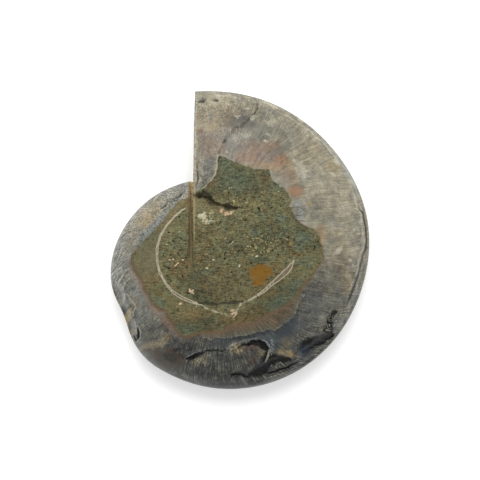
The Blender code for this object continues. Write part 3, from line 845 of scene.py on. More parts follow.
    def depths(self, x: Array, y: Array) -> dict[str, Array]:
        """How far inside each line's marks some points lie, in millimetres.

        Args:
            x: The points' places along X, as the camera sees them.
            y: Their places along Y.

        Returns:
            The depths, by the name that the finishes know.
        """
        ragged = {
            "sandstone": [self.sandstone], "coarse": [self.coarse], "flecks": [self.calcite_flecks],
            "apex_line": [self.apex_line], "ochre": [self.ochre], "strip": [self.break_strip],
            "bared": [self.bared_shell], "crack": self.cracks, "void": self.voids,
            "break": self.breaks, "rim_edge": [self.rim_edge],
        }
        even = {
            "wall": [self.inner_wall, self.inner_wall_east], "thread": self.threads,
            "edge_highlight": self.edge_highlight, "gap": [*self.hairline_gaps, self.rim_gap_and_shadow],
            "kerf_band": [self.kerf_band], "kerf_shadow": [self.kerf_shadow],
            "kerf_lip": [self.kerf_lip],
        }
        shaken = self.shaken(x, y)
        known = {f"{name}_mm": deepest(marks, *shaken) for name, marks in ragged.items()}
        known |= {f"{name}_mm": deepest(marks, x, y) for name, marks in even.items()}
        known["wall_mm"] = np.maximum(known["wall_mm"], known.pop("flecks_mm"))
        known["void_mm"] = np.maximum(known["void_mm"], known.pop("break_mm") + self.break_growth)
        return known


@dataclass
class Layer:
    """Vertices that belong together: where they are, and how they lie on the coil."""

    x: Array
    y: Array
    z: Array
    angle: Array
    side: float

    @property
    def size(self) -> int:
        """How many vertices there are."""
        return self.x.size


@dataclass
class Ammonite:
    """The whole fossil: its sizes, its faces, and what its finishes need to know."""

    thickness: float = 27.0
    keel_height: float = 13.5
    coil: Coil = Coil()
    cut: SawCut = SawCut()
    face_flank: Flank = Flank(0.50, 1.9, 0.62)
    base_flank: Flank = Flank(0.64, 1.9, 0.66)
    hollow: Hollow = Hollow()
    spall: Spall = Spall()
    chips: tuple[Chip, ...] = (
        Chip((-19.6, -43.0), (-7.4, -39.2), 1.5, 0.9),
        Chip((4.9, -36.6), (11.4, -40.4), 1.6, 0.9),
        Chip((5.5, -49.4), (17.6, -44.2), 2.8, 1.2),
        Chip((22.4, -44.2), (38.2, -32.0), 2.4, 1.1),
        Chip((-46.0, -19.5), (-41.6, -33.0), 2.6, 1.6),
    )
    marks: Markings = field(default_factory=Markings)
    waviness: float = 0.35
    wave_length: float = 17.0
    waves_from: float = 0.55
    waves_grow: float = 0.2
    base_fade: float = 0.1
    keel_fade: float = 0.03
    cuts: tuple[tuple[str, float, float, float], ...] = (
        ("bared_mm", 0.30, 0.8, 0.3), ("crack_mm", 0.30, 0.3, 0.6), ("void_mm", 0.80, 0.8, 0.3),
        ("gap_mm", 0.30, 0.3, 0.6), ("kerf_band_mm", 0.30, 0.4, 0.5),
    )
    stone_grain: Point = (0.10, 1.3)
    shell_grain: Point = (0.07, 2.6)
    grain_octaves: int = 3
    stone_fade: float = 0.5
    sharp_edge: float = 50.0
    columns: int = 520
    inner_rings: int = 52
    outer_rings: int = 82
    base_inner_rings: int = 6
    base_outer_rings: int = 22
    kerf_stations: int = 48
    wall_rows: int = 20

    def waves(self, x: Array, y: Array, pattern: Pattern) -> Array:
        """Slow rise and fall of a face."""
        return self.waviness * ripple(x, y, self.wave_length, pattern)

    def plain_height(self, share: Array) -> Array:
        """Heights of the upper face before its relief, from the coil's middle to the keel."""
        crown = self.face_flank.crown(share)
        return self.keel_height + (self.thickness - self.keel_height) * crown

    def seen(self, x: Array, y: Array, angle: Array) -> tuple[Array, Array]:
        """Where the camera sees some points of the upper face."""
        return PLAN.seen(x, y, self.plain_height(self.coil.keel_share(x, y, angle)))

    def face_height(self, x: Array, y: Array, angle: Array) -> Array:
        """Heights of the upper face, with its broken edges and low relief.

        Args:
            x: The points' places along X, in millimetres.
            y: Their places along Y.
            angle: Their angles along the spiral.

        Returns:
            The heights, in millimetres.
        """
        share = self.coil.keel_share(x, y, angle)
        height = self.plain_height(share)
        ragged_x, ragged_y = self.marks.shaken(x, y)
        relief = np.zeros(x.shape)
        for chip in self.chips:
            relief = np.maximum(relief, chip.sink(ragged_x, ragged_y))
        ragged = self.spall.raggedness * ripple(x, y, self.spall.rag_length, Pattern.SPALL)
        relief += self.spall.depth * self.spall.amount(share + ragged, angle)
        relief += np.where(x > self.cut.kerf_tip[0], self.hollow.sink(x, y), 0.0)
        relief += self.fine_relief(x, y, angle)
        slow = self.waves(x, y, Pattern.FACE) * smooth((share - self.waves_from) / self.waves_grow)
        return height + (slow - relief) * smooth((1.0 - share) / self.keel_fade)

    def grain(self, x: Array, y: Array, size: Point, pattern: Pattern) -> Array:
        """Depths of a surface's grain, from its own depth and the length of its waves."""
        deep, length = size
        return deep * np.maximum(1.0 + ripple(x, y, length, pattern, self.grain_octaves), 0.0)

    def fine_relief(self, x: Array, y: Array, angle: Array) -> Array:
        """Depths of the cracks, the black breaks and the lost shell layer.

        Args:
            x: The points' places along X, in millimetres.
            y: Their places along Y.
            angle: Their angles along the spiral.

        Returns:
            The depths, in millimetres.
        """
        inside = self.marks.depths(*self.seen(x, y, angle))
        relief = np.zeros(x.shape)
        for name, depth, width, ease in self.cuts:
            relief += depth * smooth(inside[name] / width + ease)
        stone = smooth(inside["sandstone_mm"] / self.stone_fade)
        relief += stone * self.grain(x, y, self.stone_grain, Pattern.STONE)
        return relief + (1.0 - stone) * self.grain(x, y, self.shell_grain, Pattern.SHELL)

    def base_height(self, x: Array, y: Array, angle: Array) -> Array:
        """Heights of the lower face: level with the table over its middle."""
        share = self.coil.keel_share(x, y, angle)
        crown = self.base_flank.crown(share)
        slow = np.abs(self.waves(x, y, Pattern.BASE)) * smooth((1.0 - share) / self.base_fade)
        height = self.keel_height * (1.0 - crown)
        height = height + slow * smooth((share - self.base_flank.edge) / self.base_fade)
        return np.where(crown >= 1.0, 0.0, height)

    def ring_shares(self, inner: int, outer: int) -> Array:
        """Shares of a column's length for its rings, one of them at the mouth's inner corner."""
        corner = self.cut.corner_share
        within = corner * np.arange(1, inner + 1) / inner
        beyond = corner + (1.0 - corner) * np.sin(math.pi / 2.0 * np.arange(1, outer + 1) / outer)
        return np.concatenate([within, beyond])

    def column_angles(self) -> Array:
        """The keel angle at which each column ends, from the mouth to the kerf's far lip."""
        first = float(self.coil.bearing(*np.array(self.cut.mouth_outer)))
        last = float(self.coil.bearing(*np.array(self.cut.kerf_far_lip))) - TURN
        return np.linspace(first, last, self.columns + 1)

    def fan(self, shares: Array) -> tuple[Array, Array, Array]:
        """Places and column angles of a fan of columns, one row for each column."""
        angles = self.column_angles()
        keel_x, keel_y = self.coil.keel_point(angles)
        tip = self.cut.kerf_tip
        x = tip[0] + (keel_x - tip[0])[:, None] * shares
        y = tip[1] + (keel_y - tip[1])[:, None] * shares
        x[0], y[0] = self.cut.near_side(shares)
        return x, y, np.repeat(angles[:, None], shares.size, axis=1)


class MeshStock:
    """Collects vertices and faces, and makes one mesh of them."""

    def __init__(self) -> None:
        """Starts empty."""
        self.layers: list[Layer] = []
        self.faces: list[tuple[int, ...]] = []
        self.finishes: list[int] = []
        self.count = 0

    def add(self, x: Array, y: Array, z: Array, angle: Array, side: float) -> Array:
        """Adds vertices.

        Args:
            x: Their places along X, in millimetres.
            y: Their places along Y.
            z: Their heights.
            angle: Their angles along the spiral.
            side: 1 for the upper face, -1 for the lower one and 0 for the saw cut.

        Returns:
            Their numbers, in the shape of x.
        """
        x, y, z, angle = np.broadcast_arrays(x, y, z, angle)
        self.layers.append(Layer(x.ravel(), y.ravel(), z.ravel(), angle.ravel(), side))
        numbers = np.arange(self.count, self.count + x.size).reshape(x.shape)
        self.count += x.size
        return numbers

    def face(self, corners: Sequence[int], finish: Finish) -> None:
        """Adds one face."""
        self.faces.append(tuple(int(corner) for corner in corners))
        self.finishes.append(finish.value)

    def grid(self, numbers: Array, finish: Finish) -> None:
        """Adds the faces between neighbouring rows of a grid of vertices."""
        corners = np.stack(
            [numbers[:-1, :-1], numbers[:-1, 1:], numbers[1:, 1:], numbers[1:, :-1]], axis=-1
        ).reshape(-1, 4)
        self.faces.extend(tuple(dict.fromkeys(four)) for four in corners.tolist())
        self.finishes.extend([finish.value] * len(corners))

    def zip(self, first: Sequence[int], second: Sequence[int], finish: Finish) -> None:
        """Adds triangles between two lines of vertices, keeping step along their lengths.

        Args:
            first: One line's vertices.
            second: The other's, which run the same way.
            finish: What the triangles are made of.
        """
        one, two = 0, 0
        while one < len(first) - 1 or two < len(second) - 1:
            ahead = (one + 1) * (len(second) - 1) <= (two + 1) * (len(first) - 1)
            if two == len(second) - 1 or (ahead and one < len(first) - 1):
                corners = (first[one], first[one + 1], second[two])
                one += 1
            else:
                corners = (first[one], second[two + 1], second[two])
                two += 1
            if len(set(corners)) == 3:
                self.face(corners, finish)

    def column(self, name: str) -> Array:
        """One property of all the vertices."""
        return np.concatenate([getattr(layer, name) for layer in self.layers])

    def sides(self) -> Array:
        """The side of each vertex."""
        return np.concatenate([np.full(layer.size, layer.side) for layer in self.layers])


class Finish(Enum):
    """The fossil's finishes, in the order of its material slots."""

    GROUND_FACE = 0
    UNDERSIDE = 1
    SAWN = 2
    KERF = 3


class FossilBuilder:
    """Makes the fossil's mesh from its sizes."""

    def __init__(self, fossil: Ammonite) -> None:
        """Keeps the sizes."""
        self.fossil = fossil
        self.stock = MeshStock()

    def build(self) -> bpy.types.Object:
        """Builds the fossil's faces and joins them in one object.

        Returns:
            The fossil, in metres, over the part's own place.
        """
        fossil, stock = self.fossil, self.stock
        face = self.add_face(fossil.inner_rings, fossil.outer_rings)
        base = self.add_base(face[:, -1])
        stock.grid(face, Finish.GROUND_FACE)
        stock.grid(base[:, ::-1], Finish.UNDERSIDE)
        corner = self.add_kerf(face[0][: fossil.inner_rings + 1], face[-1])
        base_near = base[0][: fossil.base_inner_rings + 1]
        stock.zip(base_near, base[-1], Finish.UNDERSIDE)
        stock.face((base_near[-1], corner, base[-1][-1]), Finish.SAWN)
        self.add_mouth(face[0][fossil.inner_rings :], base[0][fossil.base_inner_rings :], corner)
        return self.make_object()

    def add_face(self, inner: int, outer: int) -> Array:
        """Adds the upper face's vertices.

        Args:
            inner: How many rings there are within the mouth's inner corner.
            outer: How many there are beyond it.

        Returns:
            Their numbers: a row for each column, from the kerf's tip outwards.
        """
        fossil = self.fossil
        x, y, column = fossil.fan(fossil.ring_shares(inner, outer))
        angle = fossil.coil.along(x, y, column)
        z = fossil.face_height(x, y, angle)
        tip = fossil.cut.kerf_tip
        hub = self.stock.add(np.array([tip[0]]), tip[1], fossil.thickness, 0.0, 1.0)
        numbers = self.stock.add(x, y, z, angle, 1.0)
        return np.hstack([np.full((len(numbers), 1), hub[0]), numbers])

    def add_base(self, keel: Array) -> Array:
        """Adds the lower face's vertices.

        Args:
            keel: The numbers of the upper face's last ring, where the columns end.

        Returns:
            Their numbers: a row for each column, from the kerf's tip outwards.
        """
        fossil = self.fossil
        shares = fossil.ring_shares(fossil.base_inner_rings, fossil.base_outer_rings)[:-1]
        x, y, column = fossil.fan(shares)
        angle = fossil.coil.along(x, y, column)
        z = fossil.base_height(x, y, angle)
        tip = fossil.cut.kerf_tip
        hub = self.stock.add(np.array([tip[0]]), tip[1], 0.0, 0.0, -1.0)
        numbers = self.stock.add(x, y, z, angle, -1.0)
        hubs = np.full((len(numbers), 1), hub[0])
        return np.hstack([hubs, numbers, keel[:, None]])

    def add_kerf(self, near_lip: Array, far_lip: Array) -> int:
        """The kerf's two walls and its floor.

        Args:
            near_lip: Vertices of the last whorl's edge, from the tip to the mouth's corner.
            far_lip: Vertices of the earlier whorl's edge, from the tip to the keel.

        Returns:
            The floor's outer corner by the mouth.
        """
        fossil, stock = self.fossil, self.stock
        share = np.arange(1, fossil.kerf_stations + 1) / fossil.kerf_stations
        height = fossil.cut.floor_height(share, fossil.thickness, fossil.keel_height)
        near_x, near_y = between(fossil.cut.kerf_tip, fossil.cut.mouth_inner, share)
        far_x, far_y = between(fossil.cut.kerf_tip, fossil.cut.kerf_far_lip, share[:-1])
        near = [near_lip[0], *stock.add(near_x, near_y, height, 0.0, 0.0)]
        far = [far_lip[0], *stock.add(far_x, far_y, height[:-1], 0.0, 0.0), far_lip[-1]]
        stock.face([*near_lip, *near[:0:-1]], Finish.KERF)
        stock.face([*far_lip[::-1], *far[1:-1]], Finish.KERF)
        stock.zip(far, near, Finish.KERF)
        return near[-1]

    def add_mouth(self, roof: Array, foot: Array, corner: int) -> None:
        """The flat sawn mouth, from the mouth's inner corner to the keel.

        Args:
            roof: The upper face's vertices along the mouth, from its inner corner.
            foot: The lower face's.
            corner: The kerf's floor corner by the mouth.
        """
        fossil, stock = self.fossil, self.stock
        x, y, z = (stock.column(name) for name in "xyz")
        stations = roof[1:-1]
        foot_z = np.interp(y[stations], y[foot], z[foot])
        rows = np.arange(1, fossil.wall_rows) / fossil.wall_rows
        heights = z[stations][:, None] + (foot_z - z[stations])[:, None] * rows
        angle = fossil.coil.bearing(x[stations], y[stations])[:, None]
        inner = stock.add(x[stations][:, None], y[stations][:, None], heights, angle, 0.0)
        wall = np.hstack([stations[:, None], inner])
        stock.grid(wall, Finish.SAWN)
        stock.zip([roof[0], corner, foot[0]], wall[0], Finish.SAWN)
        stock.zip(wall[:, -1], foot, Finish.SAWN)
        stock.zip(wall[-1], [roof[-1]], Finish.SAWN)

    def places(self) -> Array:
        """The vertices in metres, fitted over the part's box in plan."""
        low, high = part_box(NODE)
        places = np.stack([self.stock.column(name) for name in "xyz"], axis=1) * MM
        for axis in (0, 1):
            least, most = places[:, axis].min(), places[:, axis].max()
            scale = (high[axis] - low[axis]) / (most - least)
            places[:, axis] = low[axis] + (places[:, axis] - least) * scale
        return places

    def make_object(self) -> bpy.types.Object:
        """One object of all the vertices and faces, with its attributes.

        Returns:
            The object, in metres.
        """
        mesh = bpy.data.meshes.new("ammonite_fossil")
        mesh.from_pydata(self.places().tolist(), [], self.stock.faces)
        mesh.polygons.foreach_set("material_index", self.stock.finishes)
        for name, values in self.properties().items():
            layer = mesh.attributes.new(name, "FLOAT", "POINT")
            layer.data.foreach_set("value", values.astype(np.float32))
        self.turn_outwards(mesh)
        mesh.shade_smooth()
        mesh.set_sharp_from_angle(angle=math.radians(self.fossil.sharp_edge))
        fossil = bpy.data.objects.new("ammonite_fossil", mesh)
        bpy.context.scene.collection.objects.link(fossil)
        return fossil

    def turn_outwards(self, mesh: bpy.types.Mesh) -> None:
        """Turns all the faces outwards."""
        work = bmesh.new()
        work.from_mesh(mesh)
        bmesh.ops.recalc_face_normals(work, faces=work.faces)
        work.to_mesh(mesh)
        work.free()

    def properties(self) -> dict[str, Array]:
        """What the finishes need to know about each vertex, by name.

        Returns:
            A value for each vertex, in the order of their numbers.
        """
        fossil, marks = self.fossil, self.fossil.marks
        x, y, z, angle = (self.stock.column(name) for name in ("x", "y", "z", "angle"))
        share, degrees = fossil.coil.keel_share(x, y, angle), np.degrees(angle)
        seen = fossil.seen(x, y, angle)
        in_hollow = (x > fossil.cut.kerf_tip[0]) & (fossil.hollow.along(x) <= 1.0)
        above, below = fossil.face_height(x, y, angle) - z, z - fossil.base_height(x, y, angle)
        upper = self.stock.sides() > 0.0
        known = {
            "growth": angle - marks.sweep(share, degrees),
            "keel_share": share,
            "hollow": np.where(in_hollow, fossil.hollow.sink(x, y) / fossil.hollow.depth, 0.0),
            "skin_mm": np.minimum(above, below),
        }
        known |= marks.by_angle(degrees)
        known |= {name: amount * upper for name, amount in marks.colours(*seen).items()}
        depths = marks.depths(*seen).items()
        return known | {name: np.where(upper, depth, FAR_OUTSIDE) for name, depth in depths}


Number = Union[float, "Value"]


class Value:
    """A shader socket that takes part in Python expressions."""

    def __init__(self, recipe: Recipe, socket: bpy.types.NodeSocket) -> None:
        """Keeps the socket and the recipe that it belongs to."""
        self.recipe = recipe
        self.socket = socket

    def maths(self, operation: str, *others: Number) -> Value:
        """A Math node of this value and others."""
        inputs = dict(enumerate((self, *others)))
        return self.recipe.value("ShaderNodeMath", {"operation": operation}, inputs)

    def __add__(self, other: Number) -> Value:
        """This plus other."""
        return self.maths("ADD", other)

    __radd__ = __add__

    def __sub__(self, other: Number) -> Value:
        """This minus other."""
        return self.maths("SUBTRACT", other)

    def __rsub__(self, other: float) -> Value:
        """A number minus this."""
        inputs = {0: other, 1: self}
        return self.recipe.value("ShaderNodeMath", {"operation": "SUBTRACT"}, inputs)

    def __mul__(self, other: Number) -> Value:
        """This times other."""
        return self.maths("MULTIPLY", other)

    __rmul__ = __mul__

    def __truediv__(self, other: Number) -> Value:
        """This over other."""
        return self.maths("DIVIDE", other)

    def clamp(self) -> Value:
        """This, kept from 0 to 1."""
        return self.recipe.value("ShaderNodeClamp", {}, {"Value": self})

    def most(self, other: Number) -> Value:
        """The larger of this and other."""
        return self.maths("MAXIMUM", other)

    def step(self, low: float, high: float) -> Value:
        """0 at low, 1 at high, and an even curve between."""
        inputs = {"Value": self, "From Min": low, "From Max": high}
        return self.recipe.value(
            "ShaderNodeMapRange", {"interpolation_type": "SMOOTHSTEP"}, inputs, "Result"
        )


@dataclass(frozen=True)
class StudioLight:
    """The soft light of the set, and the paint colours that it needs."""

    gain: float = 1.34
    key_watts: float = 10.5
    key_place: Colour = (0.0, 0.60, 1.10)
    key_size: float = 0.7
    sky: float = 0.72

    def paint(self, red: int, green: int, blue: int) -> Colour:
        """The base colour that looks like an 8-bit screen colour in this light."""
        linear = []
        for channel in (red, green, blue):
            share = channel / 255.0
            share = share / 12.92 if share <= 0.04045 else ((share + 0.055) / 1.055) ** 2.4
            linear.append(share / self.gain)
        return (linear[0], linear[1], linear[2])


LIGHT = StudioLight()


class Recipe:
    """One material's node tree, written as expressions."""

    def __init__(self, name: str) -> None:
        """Makes the material with a bare Principled shader."""
        self.material = bpy.data.materials.new(name)
        self.material.use_nodes = True
        self.tree = self.material.node_tree
        self.shader = self.tree.nodes["Principled BSDF"]

    def node(self, kind: str, settings: dict, inputs: dict) -> bpy.types.Node:
        """Any node.

        Args:
            kind: The node's type.
            settings: Its own settings, which are set first. "stops" are a ramp's colours.
            inputs: Values or links of its sockets, by name or number.

        Returns:
            The node.
        """
        made = self.tree.nodes.new(kind)
        for key, setting in settings.items():
            if key == "stops":
                self.set_stops(made.color_ramp, setting)
            else:
                setattr(made, key, setting)
        for key, given in inputs.items():
            if isinstance(given, Value):
                self.tree.links.new(given.socket, made.inputs[key])
            elif isinstance(given, tuple) and len(given) == 3 and made.inputs[key].type == "RGBA":
                made.inputs[key].default_value = (*given, 1.0)
            else:
                made.inputs[key].default_value = given
        return made

    def set_stops(self, ramp: bpy.types.ColorRamp, stops: Sequence[tuple[float, Colour]]) -> None:
        """Gives a ramp its stops."""
        while len(ramp.elements) < len(stops):
            ramp.elements.new(1.0)
        for element, (position, colour) in zip(ramp.elements, stops):
            element.position = position
            element.color = (*colour, 1.0)

    def value(self, kind: str, settings: dict, inputs: dict, output: Union[str, int] = 0) -> Value:
        """One output of a new node."""
        return Value(self, self.node(kind, settings, inputs).outputs[output])

    def place(self, name: str) -> Value:
        """What a vertex knows about its place, by its name."""
        return self.value("ShaderNodeAttribute", {"attribute_name": name}, {}, "Fac")

    def position(self) -> Value:
        """The object's own coordinates."""
        return self.value("ShaderNodeTexCoord", {}, {}, "Object")

    def vector(self, x: Number, y: Number, z: Number) -> Value:
        """A vector of three values."""
        return self.value("ShaderNodeCombineXYZ", {}, {0: x, 1: y, 2: z})

    def on_coil(self, growth: Value, share: Value, waves: Point, layer: Number = 0.0) -> Value:
        """Coordinates that run round the coil and out from its middle."""
        return self.vector(growth * waves[0], share * waves[1], layer)

    def turned(self, where: Value, turn: float, scale: Colour) -> Value:
        """Coordinates turned about Z, then stretched."""
        inputs = {"Vector": where, "Rotation": (0.0, 0.0, turn), "Scale": scale}
        return self.value("ShaderNodeMapping", {}, inputs)

    def moved(self, where: Value, distance: float) -> Value:
        """Coordinates moved along Z, where another pattern lies."""
        return self.value("ShaderNodeMapping", {}, {"Vector": where, "Location": (0.0, 0.0, distance)})

    def noise(self, where: Value, scale: float, detail: float = 2.0, rough: float = 0.5) -> Value:
        """Noise from 0 to 1 at so many waves to a unit."""
        inputs = {"Vector": where, "Scale": scale, "Detail": detail, "Roughness": rough}
        return self.value("ShaderNodeTexNoise", {}, inputs, "Fac")

    def cell_edges(self, where: Value) -> Value:
        """The distance from the edges of cells, one to a unit."""
        settings = {"feature": "DISTANCE_TO_EDGE"}
        return self.value("ShaderNodeTexVoronoi", settings, {"Vector": where, "Scale": 1.0}, "Distance")

    def inside(self, name: str, shake: Value, low: float, high: float) -> Value:
        """Where the points lie inside a mark whose edge is shaken: 0 at low, and 1 at high."""
        return (self.place(name) + shake).step(low, high)

    def mix(self, share: Number, first: Union[Colour, Value], second: Union[Colour, Value]) -> Value:
        """A mix of two colours: the second one where share is 1."""
        settings = {"data_type": "RGBA", "clamp_factor": True}
        return self.value("ShaderNodeMix", settings, {0: share, 6: first, 7: second}, 2)

    def times(self, colour: Value, other: Value) -> Value:
        """A colour times another."""
        settings = {"data_type": "RGBA", "blend_type": "MULTIPLY"}
        return self.value("ShaderNodeMix", settings, {0: 1.0, 6: colour, 7: other}, 2)

    def shade(self, colour: Value, light: Value) -> Value:
        """A colour times a value."""
        grey = self.value("ShaderNodeCombineColor", {}, {0: light, 1: light, 2: light})
        return self.times(colour, grey)

    def ramp(self, value: Value, stops: Sequence[tuple[float, Colour]]) -> Value:
        """A colour read off a ramp."""
        return self.value("ShaderNodeValToRGB", {"stops": stops}, {"Fac": value}, "Color")

    def relief(self, height: Value, depth_mm: float) -> Value:
        """A surface normal bumped by a height from 0 to 1."""
        inputs = {"Height": height, "Distance": depth_mm * MM, "Strength": 1.0}
        return self.value("ShaderNodeBump", {}, inputs, "Normal")

    def finish(self, colour: Value, roughness: Number, normal: Value, **constants: float) -> None:
        """Feeds the shader.

        Args:
            colour: Its base colour.
            roughness: How rough it is, from 0 to 1.
            normal: Its surface normal.
            constants: Other inputs, by name, with underlines for spaces.
        """
        for name, given in {"Base Color": colour, "Roughness": roughness, "Normal": normal}.items():
            if isinstance(given, Value):
                self.tree.links.new(given.socket, self.shader.inputs[name])
            else:
                self.shader.inputs[name].default_value = given
        for name, given in constants.items():
            self.shader.inputs[name.replace("_", " ")].default_value = given

    def polish(self, weight: Value) -> None:
        """Lays a thin polished coat over the shader."""
        self.tree.links.new(weight.socket, self.shader.inputs["Coat Weight"])
        self.shader.inputs["Coat Roughness"].default_value = COAT_ROUGHNESS


@dataclass(frozen=True)
class Inlay:
    """A line on the upper face, laid in as colour with a shaken edge."""

    name: str
    strength: float
    shake: float
    edge: Point

    def lay(self, recipe: Recipe, colour: Value, paint: Colour, shake: Value) -> Value:
        """The colour with the line laid in."""
        amount = recipe.inside(self.name, shake * self.shake, *self.edge)
        return recipe.mix(amount * self.strength, colour, paint)


@dataclass(frozen=True)
class Sandstone:
    """The olive, gritty sandstone that fills the shell, ground flat."""

    olive: Colour = LIGHT.paint(107, 104, 73)
    deep: Colour = LIGHT.paint(86, 86, 61)
    grey_green: Colour = LIGHT.paint(94, 106, 87)
    brown: Colour = LIGHT.paint(116, 97, 62)
    smooth_brown: Colour = LIGHT.paint(122, 114, 88)
    straw: Colour = LIGHT.paint(178, 166, 112)
    ivory: Colour = LIGHT.paint(216, 208, 178)
    pit: Colour = LIGHT.paint(36, 34, 22)
    rosy: Colour = LIGHT.paint(230, 194, 160)
    broad_waves: float = 95.0
    patch_waves: float = 380.0
    grain_waves: float = 1700.0
    coarse_waves: float = 620.0
    hatch_waves: Colour = (450.0, 2100.0, 1.0)
    hatch_turn: float = 0.6
    speck_waves: float = 1250.0
    pit_waves: float = 640.0

    def colour(self, recipe: Recipe, where: Value, inside: Value) -> tuple[Value, Value]:
        """The sandstone's colour and its height, with grains, pits and stains.

        Args:
            recipe: The material's recipe.
            where: The object's coordinates.
            inside: 1 within the inner wall, where the stone is coarse, and 0 outside it.

        Returns:
            The colour, and a height from 0 to 1.
        """
        broad = recipe.noise(where, self.broad_waves, 3.0, 0.55)
        patchy = recipe.noise(where, self.patch_waves, 2.0, 0.55)
        colour = recipe.mix(broad.step(0.40, 0.62), self.olive, self.deep)
        colour = recipe.mix(patchy.step(0.50, 0.66) * 0.45, colour, self.brown)
        colour = recipe.mix(patchy.step(0.46, 0.34) * 0.34, colour, self.grey_green)
        teal = recipe.place("teal") * (patchy * 1.9)
        colour = recipe.mix((teal * 0.8).clamp(), colour, self.grey_green)
        # Brown patches, with painted shade under the hollow's ledge among them.
        umber = recipe.place("umber") * (0.35 + broad)
        colour = recipe.mix((umber * 0.8).clamp(), colour, self.brown)
        colour = recipe.mix(recipe.place("plain") * 0.6, colour, self.smooth_brown)
        # Darker where the dim patches lie, with painted shade under the hollow's ledge among them.
        colour = recipe.shade(colour, 1.0 - recipe.place("dim") * 0.30)
        grain = recipe.noise(where, self.grain_waves, 2.0, 0.7)
        coarse = recipe.noise(where, self.coarse_waves, 2.0, 0.6)
        hatch = recipe.noise(recipe.turned(where, self.hatch_turn, self.hatch_waves), 1.0, 1.0)
        strength = (inside * 0.22 + 0.96) * (1.0 - recipe.place("plain") * 0.45)
        light = 1.0 + ((grain - 0.5) * 2.2 + (coarse - 0.5) * 1.3 + (hatch - 0.5) * 1.5) * strength
        colour = recipe.shade(colour, light.most(0.25))
        zone = recipe.place("grains")
        specks = recipe.noise(recipe.moved(where, 3.0), self.speck_waves, 1.0, 0.6)
        straw = (specks + zone * 0.10).step(0.665, 0.72)
        colour = recipe.mix(straw * (0.28 + zone * 0.50), colour, self.straw)
        ivory = recipe.place("ivory").most(recipe.place("pale")) * (specks * 1.8 + 0.1)
        colour = recipe.mix(ivory.step(0.55, 1.00) * 0.80, colour, self.ivory)
        holes = recipe.noise(recipe.moved(where, 7.0), self.pit_waves, 1.0, 0.4)
        pit = holes.step(0.300, 0.265) * (inside * 0.75 + 0.25)
        colour = recipe.mix(pit, colour, self.pit)
        rosy = recipe.place("rosy") * (specks * 2.6 - 0.25)
        colour = recipe.mix(rosy.step(0.40, 0.90) * 0.85, colour, self.rosy)
        height = grain * 0.5 + coarse * 0.6 + straw * 0.2 - pit * 0.8
        return colour, height


